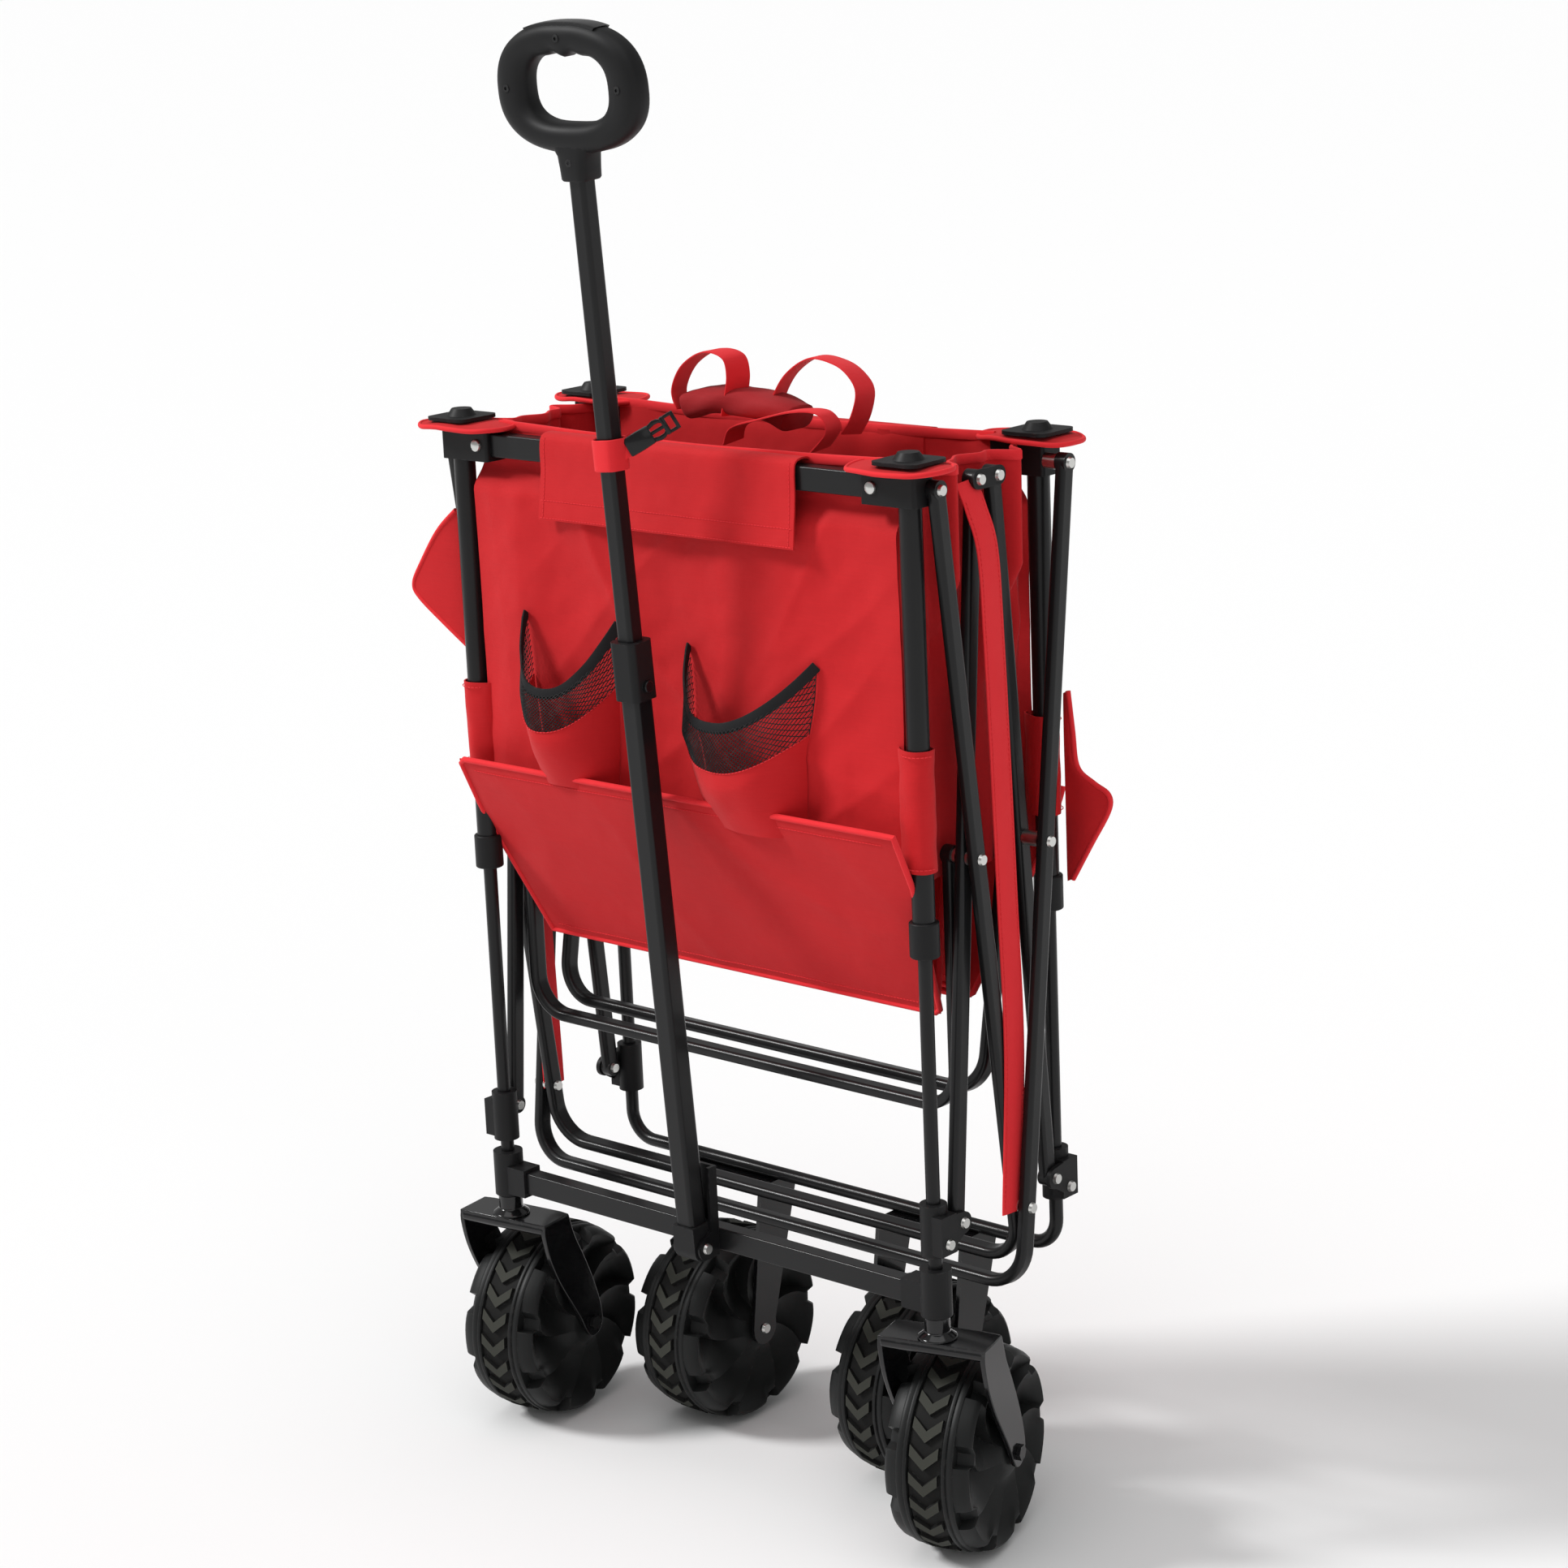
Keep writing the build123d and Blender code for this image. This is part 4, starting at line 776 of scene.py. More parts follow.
def plate(points, faces, outline_points, thickness, to_space):
    """Adds a flat plate with the outline, centred on its own plane."""
    start, n = len(points), len(outline_points)
    for side in (-0.5, 0.5):
        points += [to_space(u, v, side * thickness) for u, v in outline_points]
    faces.append(tuple(start + k for k in range(n)))
    faces.append(tuple(start + n + k for k in reversed(range(n))))
    faces += [(start + k, start + (k + 1) % n, start + n + (k + 1) % n, start + n + k) for k in range(n)]


def bevelled(thing, width):
    """A live bevel on every edge sharper than 35 degrees."""
    modifier = thing.modifiers.new("rounded_edges", "BEVEL")
    modifier.width = width
    modifier.segments = 3
    modifier.limit_method = "ANGLE"
    modifier.angle_limit = math.radians(35)
    return thing

def pressed_fork(name, place, body):
    """One fork: two legs and a top, the roll along its front edge and the boss of its stem."""

    def put(x, y, z):
        return place @ Vector((x / 1000, y / 1000, z / 1000))

    points, faces = [], []
    leg = [(p.x, p.z) for p in smooth_line([Vector((y, 0, z)) for y, z in LEG], 3)]
    for x in (-LEG_X, LEG_X):
        plate(points, faces, leg, LEG_THICK, lambda y, z, t, x=x: put(x + t, y, z))
    plate(points, faces, TOP_FACE, TOP_THICK, lambda x, y, t: put(x, y, TOP_Z + t))
    roll = []
    for x, small in ((-46.5, 0.8), (-45.5, 1.0), (45.5, 1.0), (46.5, 0.8)):
        r = ROLL_R * small
        roll.append([put(x, ROLL_Y + r * math.cos(a), ROLL_Z + r * math.sin(a)) for a in full_turn(14)])
    add_rings(points, faces, roll)
    boss = [[put(r * math.cos(a), r * math.sin(a), z) for a in full_turn(32)] for r, z in BOSS]
    add_rings(points, faces, boss)
    return bevelled(add_piece(name, points, faces, gloss_paint, body, "fork_steel", 35), 0.0011)


for side in ("left", "right"):
    spin = joint_named(f"wheel_front_{side}_spin")["axis"]
    stem = joint_named(f"caster_{side}_swivel")["pos_m"]
    turn = Matrix.Rotation(math.atan2(spin[1], spin[0]), 4, "Z")
    place = Matrix.Translation((stem[0], stem[1], 0)) @ turn
    fork = pressed_fork(f"caster_fork_{side}_pressed", place, f"caster_{side}")
    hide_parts(f"caster_fork_{side}")
    print("fork", side, "points", len(fork.data.vertices))

# %% [markdown]
# ## Grip
# The grip is an oval loop moulded in two halves, thicker below, with three finger dips under its top
# bar and a neck that takes the pole. A loop with a changing section is easiest as rings of points set
# between an inner and an outer outline, so that each outline can have its own shape.

# %% The grip's loop and neck
PIVOT = Vector(joint_named("handle_tilt")["pos_m"])
POLE_UP = Vector(joint_named("handle_draw")["axis"]).normalized()
ACROSS = Vector((1, 0, 0))
POLE_OUT = -POLE_UP.cross(ACROSS) if POLE_UP.cross(ACROSS).y > 0 else POLE_UP.cross(ACROSS)
GRIP_MID = 997.0
OUTER = (77.5, 54.0, 50.0, 2.35)
INNER = (44.0, 29.0, 25.0, 2.9)
DIP, DIP_PITCH = 3.4, 21.0
HALF_DEPTH, LOW_DEPTH = 13.2, 1.4
TURNS, RING = 128, 22
NECK = [(926.0, 12.6, 12.2), (927.5, 13.6, 13.2), (936.0, 14.2, 13.4), (946.0, 15.5, 13.6),
        (953.0, 21.0, 13.4), (960.0, 30.0, 11.0)]


def on_pole(x, out, s):
    """A point x across, out towards the front and s up the pole, all in millimetres."""
    return PIVOT + ACROSS * (x / 1000) + POLE_OUT * (out / 1000) + POLE_UP * (s / 1000)


def outline(angle, half_w, up, down, power):
    """How far out a rounded oval is at an angle; it may be taller above its middle than below."""
    c, s = math.cos(angle), math.sin(angle)
    half_h = up if s > 0 else down
    return (abs(c / half_w) ** power + abs(s / half_h) ** power) ** (-1 / power)


def grip_section(a):
    """The ring of points round the loop's bar at one angle, with a groove where the halves meet."""
    outer, inner = outline(a, *OUTER), outline(a, *INNER)
    top = max(0.0, math.sin(a)) ** 4
    inner -= DIP * top * (0.5 + 0.5 * math.cos(2 * math.pi * inner * math.cos(a) / DIP_PITCH))
    depth = HALF_DEPTH + LOW_DEPTH * max(0.0, -math.sin(a))
    ring = []
    for b in full_turn(RING):
        c, s = squarish(b, 0.85, 0.85)
        groove = 0.5 if abs(math.sin(b)) < 0.02 else 0.0
        r = (outer + inner) / 2 + (outer - inner) / 2 * c - math.copysign(groove, c)
        ring.append(on_pole(r * math.cos(a), depth * s, GRIP_MID + r * math.sin(a)))
    return ring


points = [p for a in full_turn(TURNS) for p in grip_section(a)]
faces = grid_faces(TURNS, RING, wrap_rows=True, wrap_columns=True)
neck = []
for s, half_w, half_d in NECK:
    square = [squarish(b, 0.5, 0.5) for b in full_turn(24)]
    neck.append([on_pole(half_w * c, half_d * d, s) for c, d in square])
add_rings(points, faces, neck)
grip = add_piece("grip", points, faces, grained_black, "handle_upper", "black_plastic", 40)
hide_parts("grip_front_shell", "grip_rear_shell")
print("grip", len(grip.data.polygons), "faces")

# %% The smooth insert on its crown, and the five socket screws
ROWS, COLUMNS = 33, 9
points = []
for i in range(ROWS):
    a = math.radians(52 + 76 * i / (ROWS - 1))
    outer = outline(a, *OUTER)
    for k in range(COLUMNS):
        b = math.pi * (k / (COLUMNS - 1) - 0.5)
        x = (outer + 0.5 * math.cos(b) - 0.1) * math.cos(a)
        up = (outer + 0.9 * math.cos(b) - 0.4) * math.sin(a)
        points.append(on_pole(x, 9.5 * math.sin(b), GRIP_MID + up))
centre = on_pole(0, 0, GRIP_MID)
points += [p - (p - centre).normalized() * 0.004 for p in points]
add_piece("grip_crown_insert", points, two_skins(ROWS, COLUMNS), smooth_black, "handle_upper",
          "gloss_black_plastic")


def screw_head(points, faces, x, s, out):
    """A round head with a hexagon socket, facing the front."""
    rings = []
    for radius, rise in ((3.3, -2.0), (3.3, 0.2), (3.0, 0.6), (1.7, 0.6)):
        rings.append([on_pole(x + radius * math.cos(a), out + rise, s + radius * math.sin(a))
                      for a in full_turn(12)])
    corners = [round(k / 2) * math.pi / 3 for k in range(12)]
    for rise in (0.6, -1.2):
        rings.append([on_pole(x + 1.5 * math.cos(a), out + rise, s + 1.5 * math.sin(a)) for a in corners])
    add_rings(points, faces, rings)


points, faces = [], []
for x, s in ((0, GRIP_MID + 41.5), (-60.5, GRIP_MID + 2), (60.5, GRIP_MID + 2), (0, GRIP_MID - 37.5)):
    screw_head(points, faces, x, s, 13.3)
screw_head(points, faces, 0, 941.0, 13.2)
screws = add_piece("grip_socket_screws", points, faces, smooth_black, "handle_upper", "zinc", 30)
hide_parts("grip_screws")
print("screws", len(screws.data.polygons), "faces")

# %% [markdown]
# ## Cloth body
# The cloth hangs between the posts and is slack, because the wagon is folded: long soft folds run
# down it and sharper creases cross them where it was packed. Each wall is a surface with those folds
# worked in, given the cloth's thickness. A simulation from a flat sheet would need the folding itself
# played through; shaping the folds directly puts them where they belong.

# %% Front and rear walls with their folds
POST = 250.0
DEPTH = 166.0
WALL_TOP, WALL_FOOT = 934.0, 622.0
WALL_HALF = 236.0
CLOTH = 0.0012
ENDS = {"front": (0.0, -1), "rear": (DEPTH, 1)}


def wall_wave(x, z, seed):
    """The slack of an end wall in millimetres: long folds, a sag and crossing creases."""
    p = Vector((x / 1000, seed, z / 1000))
    hang = Vector((p.x + 0.15 * p.z, seed, p.z * 0.22))
    folds = 13.0 * soft_noise(hang, 9.0, seed) + 5.0 * soft_noise(hang, 21.0, seed + 3)
    slant = Vector((p.x + 0.55 * p.z, seed, (p.z - 0.3 * p.x) * 0.40))
    cross = Vector((p.x - 0.8 * p.z, seed, p.z * 0.5))
    sharp = 7.0 * crease(slant, 7.0, seed + 7) + 3.0 * crease(cross, 9.0, seed + 15)
    small = 1.3 * soft_noise(p, 48.0, seed + 11)
    edge = min(1.0, (POST - 10 - abs(x)) / 60)
    return (folds + sharp + small) * (0.25 + 0.75 * max(0.0, edge))


def end_wall(post_y, out, seed):
    """The surface of an end wall; out is -1 for the front and 1 for the rear."""

    def shape(u, v):
        x = WALL_HALF * (2 * u - 1)
        z = WALL_FOOT + (WALL_TOP - WALL_FOOT) * v
        behind = min(1.0, max(0.0, (z - 880) / 24))
        gathered = 0.6 * out * math.sin(x / 9) if behind > 0.9 else 0
        inner = post_y - out * 10.5 + gathered
        sag = 1 - 1.8 * math.sin(math.pi * min(1.0, v * 1.1))
        loose = post_y + out * sag + out * wall_wave(x, z, seed) * 0.75
        return at(x, loose + (inner - loose) * behind * behind * (3 - 2 * behind), z)

    return shape


walls = {}
for end, seed in (("front", 2.0), ("rear", 5.0)):
    walls[end] = end_wall(*ENDS[end], seed)
    wall = cloth(f"{end}_wall_cloth", walls[end], 150, 100, CLOTH, red_cloth, f"{end}_upper", "red_cloth")
    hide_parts(f"{end}_wall")
    print(end, "wall faces", len(wall.data.polygons))

# %% The flap turned over each crossbar, with its sewn hems
FLAP_LEFT, FLAP_RIGHT = -145.0, 140.0
FLAP_FOOT = {"front": 864.0, "rear": 866.0}


def flap_shape(post_y, out, foot):
    """A panel that goes over the bar and hangs in front of it."""
    path = [(-out * 11.5, 905), (-out * 11.5, 925), (-out * 8.5, 934.5), (0, 936.5), (out * 8.5, 934),
            (out * 11.0, 925), (out * 11.5, 905), (out * 13, 885), (out * 15, foot)]
    line = smooth_line([Vector((0, y, z)) for y, z in path], 6)

    def shape(u, v):
        k = v * (len(line) - 1)
        i = min(int(k), len(line) - 2)
        p = line[i].lerp(line[i + 1], k - i)
        x = FLAP_LEFT + (FLAP_RIGHT - FLAP_LEFT) * u
        low = max(0.0, (905 - p.z) / 45) if v > 0.5 else 0
        wave = 1.6 * low * soft_noise(Vector((x / 1000, 0, 3.3)), 14.0, 4.0)
        wave += 0.4 * soft_noise(Vector((x / 1000, 0, p.z / 1000)), 60.0)
        return at(x + 2 * low * (u - 0.5), post_y + p.y + out * (wave + 1.2 * low), p.z)

    return shape


for end, (post_y, out) in ENDS.items():
    body = f"{end}_upper"
    over = flap_shape(post_y, out, FLAP_FOOT[end])
    flap = cloth(f"{end}_flap", over, 90, 60, 0.0016, red_cloth, body, "red_cloth")
    clear = Vector((0, out * 0.0010, 0))
    for row, v in (("lower", 0.985), ("upper", 0.90)):
        sew_seam(f"{end}_flap_hem_{row}", [over(u / 80, v) + clear for u in range(1, 80)], body)
    for row, u in (("left", 0.018), ("right", 0.982)):
        sew_seam(f"{end}_flap_side_{row}", [over(u, v / 30) + clear for v in range(16, 30)], body)
    print(end, "flap faces", len(flap.data.polygons))

# %% Binding along the tops of the walls, and the leaf tabs under the corner caps
LEAF_Z = 939.6
LEAF_STEPS = 48


def leaf(name, x, y, body, turn_x, turn_y):
    """A leaf of two cloths, sewn round, that lies on a corner under its cap."""
    rim = []
    for a in full_turn(LEAF_STEPS):
        c, s = squarish(a, 0.8, 0.8)
        wide = 38 if c * turn_x > 0 else 56
        deep = 31 if s * turn_y > 0 else 25
        rim.append((wide * c, deep * s))
    points = []
    for share in (0.0, 0.35, 0.7, 0.9, 1.0):
        for px, py in rim:
            qx, qy = x + px * share, y + py * share
            ripple = 2.6 * soft_noise(Vector((qx / 1000, qy / 1000, 0)), 30.0, x) * share
            droop = 7.0 * max(0.0, share - 0.5) ** 1.5 + ripple
            points.append(at(qx, qy, LEAF_Z - droop))
    low = len(points)
    edge = low - LEAF_STEPS
    points += [p - Vector((0, 0, 0.0014)) for p in points]
    faces = grid_faces(5, LEAF_STEPS, wrap_columns=True)
    faces += [tuple(low + k for k in reversed(face)) for face in faces]
    for k in range(LEAF_STEPS):
        a, b = edge + k, edge + (k + 1) % LEAF_STEPS
        faces.append((a, b, low + b, low + a))
    add_piece(name, points, faces, red_cloth, body, "red_cloth")
    line = [points[edge + k % LEAF_STEPS] - Vector((0, 0, 0.0007)) for k in range(LEAF_STEPS + 1)]
    strip(name + "_piping", line, Vector((0, 0, 1)), 0.0042, 0.0034, red_webbing, body, "red_webbing",
          round_section=True)


for end, (post_y, out) in ENDS.items():
    for side, sign in (("left", -1), ("right", 1)):
        leaf(f"corner_leaf_{end}_{side}", sign * POST, post_y, f"{end}_upper", sign, out)
    line = []
    for k in range(61):
        y = post_y - out * 10.5 + 0.8 * math.sin(k / 3.0)
        line.append(at(-214 + 428 * k / 60, y, 936.5 - 3.5 * math.sin(math.pi * k / 60)))
    strip(f"{end}_top_binding", line, Vector((0, 0, 1)), 0.0085, 0.0036, red_webbing, f"{end}_upper",
          "red_webbing")
    print(end, "binding", round((line[-1] - line[0]).length, 3), "m")

# %% [markdown]
# ## Pockets
# Two pockets sit low on the front wall: a red band below, black netting above, and a dark elastic edge
# that sags between its corners. The net is a real one, cords in a diamond grid on the pocket's
# surface, because light shows through it.

# %% Pockets on the front wall
# left edge, right edge, foot, mouth, how far it bellies out, how far its mouth dips, share of cloth
POCKETS = {
    "left": (-172.0, -66.0, 636.0, 780.0, 40.0, 62.0, 0.62),
    "right": (6.0, 152.0, 624.0, 768.0, 40.0, 54.0, 0.60),
}
NET_PITCH = 3.6
NET_ROWS = 22
NET_CORD = 0.00042


def pocket_face(x0, x1, z0, z1, bulge, dip):
    """The front of a pocket: it bellies out and its mouth sags in the middle."""

    def shape(u, v):
        round_u = 1 - abs(2 * u - 1) ** 2.4
        rim = z1 - dip * round_u ** 0.9
        z = z0 + (rim - z0) * v
        narrow = 0.10 * (1 - v) ** 2 + 0.03 * math.sin(math.pi * v)
        x = x0 + (x1 - x0) * (narrow + (1 - 2 * narrow) * u)
        x -= (x1 - x0) * 0.10 * round_u * v
        belly = round_u ** 0.8 * (0.30 + 0.70 * math.sin(math.pi * min(1.0, 0.12 + 0.62 * v)))
        wave = 2.4 * soft_noise(Vector((x / 1000, v * 0.1, z / 1000)), 26.0, x0)
        wall_u = min(1.0, max(0.0, (x + WALL_HALF) / (2 * WALL_HALF)))
        wall = walls["front"](wall_u, (z - WALL_FOOT) / (WALL_TOP - WALL_FOOT))
        push = bulge * belly + 1.8 + wave * round_u
        return Vector((at(x, 0, 0).x, min(wall.y, at(0, 2, 0).y) - push / 1000, z / 1000))

    return shape


def net_lines(face, foot, across, up):
    """Points and cords of a diamond net on a surface, from a height on it up to its mouth."""
    points, cords = [], []
    for j in range(up + 1):
        for i in range(across + 1):
            u = min(1.0, (i + 0.5 * (j % 2)) / across)
            points.append(face(u, foot + (1 - foot) * j / up))
    for j in range(up):
        lean = 1 if j % 2 else -1
        for i in range(across + 1):
            here = j * (across + 1) + i
            above = here + across + 1
            cords.append((here, above))
            if 0 <= i + lean <= across:
                cords.append((here, above + lean))
    return points, cords


for side, (x0, x1, z0, z1, bulge, dip, share) in POCKETS.items():
    face = pocket_face(x0, x1, z0, z1, bulge, dip)

    def band_face(u, v, face=face, share=share):
        return face(u, v * share)

    band = cloth(f"pocket_band_{side}", band_face, 50, 26, CLOTH, red_cloth, "front_upper", "red_cloth")
    source = line_object(*net_lines(face, share, int((x1 - x0) / NET_PITCH), NET_ROWS))
    run_tree(source, knit, Cord=NET_CORD, Material=black_net)
    net = settle(f"pocket_net_{side}", source, "front_upper")
    mouth = [face(k / 60, 1.0) for k in range(61)]
    strip(f"pocket_mouth_{side}", mouth, Vector((0, 0, 1)), 0.0095, 0.0022, dark_band, "front_upper",
          "black_plastic")
    seam = [face(k / 60, share) + Vector((0, -0.0012, 0)) for k in range(61)]
    sew_seam(f"pocket_seam_{side}", seam, "front_upper")
    print("pocket", side, "net faces", len(net.data.polygons))

# %% [markdown]
# ## Sleeves, side walls and floor
# Cloth sleeves close round the upper posts. The side walls are gathered between the posts in deep
# pleats and spread when the wagon opens; here they are set in place in their gathered shape. The
# floor is four stiff boards sewn in cloth with piped edges.

# %% Sleeves round the posts
SLEEVE_ROWS, SLEEVE_STEPS = 26, 44
SEAM_R = 13.9
SLEEVES = {
    ("front", "left"): (633, 708), ("front", "right"): (609, 710),
    ("rear", "left"): (620, 705), ("rear", "right"): (620, 705),
}


def sleeve(name, x, y, z0, z1, body, seed):
    """A loose cloth tube round a post, drawn a little towards the middle."""
    inward = -math.copysign(1, x)
    outer, inner = [], []
    for j in range(SLEEVE_ROWS):
        z = z0 + (z1 - z0) * j / (SLEEVE_ROWS - 1)
        for a in full_turn(SLEEVE_STEPS):
            c, s = math.cos(a), math.sin(a)
            r = 12.4 + 1.1 * soft_noise(Vector((c * 0.5, s * 0.5, z / 40)), 2.0, seed)
            reach = 7.0 * max(0.0, c * inward) ** 2
            outer.append(at(x + (r + reach) * c, y + r * s, z))
            inner.append(at(x + (r - 1.3 + reach) * c, y + (r - 1.3) * s, z))
    n = len(outer)
    faces = grid_faces(SLEEVE_ROWS, SLEEVE_STEPS, wrap_columns=True)
    faces += [tuple(n + k for k in reversed(face)) for face in faces]
    for j in (0, SLEEVE_ROWS - 1):
        for k in range(SLEEVE_STEPS):
            a, b = j * SLEEVE_STEPS + k, j * SLEEVE_STEPS + (k + 1) % SLEEVE_STEPS
            faces.append((a, b, n + b, n + a))
    return add_piece(name, outer + inner, faces, red_cloth, body, "red_cloth")


for (end, side), (z0, z1) in SLEEVES.items():
    post_y, out = ENDS[end]
    sign = -1 if side == "left" else 1
    body = f"{end}_upper"
    sleeve(f"sleeve_{end}_{side}", sign * POST, post_y, z0, z1, body, 1.0 + sign + post_y)
    turns = [math.pi * (0.05 + 0.9 * k / 20 + (out < 0)) for k in range(21)]
    for z in (z0 + 4, z1 - 4):
        line = [at(sign * POST + SEAM_R * math.cos(a), post_y + SEAM_R * math.sin(a), z) for a in turns]
        sew_seam(f"sleeve_seam_{end}_{side}_{z}", line, body)
    print("sleeve", end, side, z1 - z0, "mm high")

# %% Side walls in pleats
SIDE_FRONT, SIDE_REAR = 13.0, 153.0
SIDE_FOOT, SIDE_TOP = 590.0, 930.0
PLEATS = 3.5


def side_shape(sign):
    """The gathered side wall: pleats that are deepest above the scissor and bulge past the frame."""

    def shape(u, v):
        y = SIDE_FRONT + (SIDE_REAR - SIDE_FRONT) * u
        z = SIDE_FOOT + (SIDE_TOP - SIDE_FOOT) * v
        p = Vector((0, y / 1000, z / 1000))
        high = min(1.0, max(0.0, (z - 738) / 50))
        pleat = math.sin(2 * math.pi * PLEATS * u + 1.2 * soft_noise(p, 7.0, sign * 3))
        room = 3.5 + 6.0 * high
        lean = 2.5 * soft_noise(Vector((sign, p.y, p.z * 0.5)), 14.0, 9.0)
        edge = min(1.0, u / 0.08, (1 - u) / 0.08)
        loose = min(1.0, max(0.0, (z - 785) / 55))
        lobe = loose * (math.exp(-((y - 42) / 9) ** 2) + math.exp(-((y - 124) / 9) ** 2))
        x = 232.5 + 4.5 * high + room * pleat * edge * (1 - 0.5 * loose) + lean * high
        return at(sign * (x * (1 - lobe) + (266 + 3 * pleat) * lobe), y, z)

    return shape


for side, sign in (("left", -1), ("right", 1)):
    shape = side_shape(sign)
    wall = cloth(f"side_wall_{side}", shape, 120, 70, CLOTH, red_cloth, None, "red_cloth")
    if sign > 0:
        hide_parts("side_walls")
    top = [shape(k / 60, 1.0) for k in range(61)]
    edge = strip(f"side_top_binding_{side}", top, Vector((0, 0, 1)), 0.0085, 0.0036, red_webbing, None,
                 "red_webbing")
    for piece in (wall, edge):
        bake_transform(piece)

# %% Floor boards in their cloth, with piping


def board(name, fold, length, turn, away, half, wide, start, seed):
    """A stiff panel in cloth from its fold up: crowned a little, creased, piped all round."""
    body, node = f"floor_{name}", f"floor_{name}_panel"
    a = math.radians(turn)
    out = Vector((0, away * math.cos(a), math.sin(a)))
    normal = Vector((0, -out.z, out.y)) * -away
    base = Vector((MID_X, *joint_named(f"floor_{fold}_fold")["pos_m"][1:]))

    def shape(u, v, lift):
        s = start + (length - start) * v
        x = (2 * u - 1) * (half + (wide - half) * min(1.0, v * 1.4))
        p = Vector((x / 1000, s / 1000, 0))
        rise = (1 - abs(2 * u - 1) ** 8) * (1 - abs(2 * v - 1) ** 8)
        wave = 1.1 * soft_noise(p, 9.0, seed) + 0.5 * soft_noise(p + Vector((0, 0, 1)), 34.0, seed)
        wave += 1.4 * crease(Vector((p.x + 0.4 * p.y, 0, p.y)), 7.0, seed)
        thick = lift * (0.6 + 2.2 * rise) + wave * rise
        return base + Vector((p.x, 0, 0)) + out * p.y + normal * (thick / 1000)

    nu, nv = 90, 44
    front = [shape(i / (nu - 1), j / (nv - 1), 1) for j in range(nv) for i in range(nu)]
    back = [shape(i / (nu - 1), j / (nv - 1), -1) for j in range(nv) for i in range(nu)]
    piece = add_piece(f"floor_board_{name}", front + back, two_skins(nv, nu), red_cloth, body, "red_cloth")
    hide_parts(node)
    edge = [(front[k] + back[k]) / 2 for k in rim_of(nv, nu)[::2]]
    edge.append(edge[0])
    strip(f"floor_board_{name}_piping", edge, normal, 0.0056, 0.0050, red_webbing, body, "red_webbing",
          round_section=True)
    for row, v in (("top", 0.95), ("foot", 0.05)):
        seam = [shape(u / 90, v, 1) + normal * 0.0003 for u in range(3, 88)]
        sew_seam(f"floor_board_{name}_seam_{row}", seam, body)
    print("board", name, round(2 * wide / 1000, 3), "m wide,", round((length - start) / 1000, 3), "m long")


board("front", "front", 196, 64.8, -1, 224, 247, 5, 1.0)
board("mid_front", "front", 176, 83.0, 1, 218, 218, 12, 2.0)
board("rear", "rear", 196, 57.3, 1, 224, 247, 5, 3.0)
board("mid_rear", "rear", 176, 90.0, -1, 218, 218, 12, 4.0)

# %% Slack cloth that stands out past the frame on both sides


def flap_out(name, inner, outer, body, seed):
    """A doubled corner of slack cloth with a piped edge."""
    edge = smooth_line(outer, 6)

    def shape(u, v):
        k = v * (len(edge) - 1)
        i = min(int(k), len(edge) - 2)
        p = inner[0].lerp(inner[1], v).lerp(edge[i].lerp(edge[i + 1], k - i), u)
        puff = math.sin(math.pi * u) * math.sin(math.pi * v)
        return p + Vector((0, -(2.5 * puff + 1.5 * soft_noise(p, 22.0, seed) * u * (1 - u)) / 1000, 0))

    flap = cloth(name, shape, 24, 36, 0.0026, red_cloth, body, "red_cloth")
    path = [shape(1, k / 40) for k in range(41)]
    piping = strip(name + "_piping", path, Vector((0, 1, 0)), 0.0050, 0.0044, red_webbing, body,
                   "red_webbing", round_section=True)
    for piece in (flap, piping):
        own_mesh(piece)


flap_out(
    "slack_corner_left", (at(-243, 12.5, 852), at(-243, 12.5, 730)),
    [at(-268, 3, 858), at(-290, 1, 838), at(-312, 0, 808), at(-324, 0, 788), at(-318, 0, 776),
     at(-292, 2, 756), at(-262, 5, 734)],
    "front_upper", 3.0)
flap_out(
    "slack_corner_right", (at(262, 178, 722), at(262, 178, 560)),
    [at(266, 178, 724), at(270, 178, 690), at(274, 178, 660), at(290, 179, 648), at(304, 180, 640),
     at(304, 180, 626), at(286, 179, 595), at(267, 178, 562)],
    "rear_upper", 6.0)

# %% Rivets that show on the corner brackets
RIVET_X, RIVET_Z, RIVET_OUT = 221.0, 921.0, 12.5
for end, (post_y, out) in ENDS.items():
    points, faces = [], []
    for x in (-RIVET_X, RIVET_X):
        rings = []
        for r, rise in ((5.5, 0.0), (5.5, 1.0), (4.9, 2.4), (2.9, 3.4), (0.4, 3.7)):
            y = post_y + out * (RIVET_OUT + rise)
            rings.append([at(x + r * math.cos(a), y, RIVET_Z + r * math.sin(a)) for a in full_turn(16)])
        add_rings(points, faces, rings)
    rivets = add_piece(f"{end}_bracket_rivets", points, faces, zinc, f"{end}_upper", "zinc", 40)
    print(end, "rivets", len(rivets.data.polygons), "faces")

# %% [markdown]
# ## Webbing
# Webbing is a flat woven strip: it bends along its length, never across. Each strap is its own line
# with a flat section; the side straps are sewn along both edges.

# %% Straps down the sides
STRAP_WIDE, STRAP_THICK = 0.027, 0.0018
STRAPS = {
    "right": [at(258, 60, 918), at(266, 62, 896), at(274.5, 66, 860), at(276.6, 68, 782),
              at(276.4, 75, 577), at(276.4, 80, 436), at(276.2, 72, 300)],
    "left": [at(-258, 66, 912), at(-270, 70, 880), at(-276.2, 76, 800), at(-276.4, 80, 600),
             at(-276.4, 85, 459), at(-276.2, 90, 300)],
}


def length_of(line):
    """The length of a line of points, in metres."""
    return sum((b - a).length for a, b in zip(line, line[1:]))


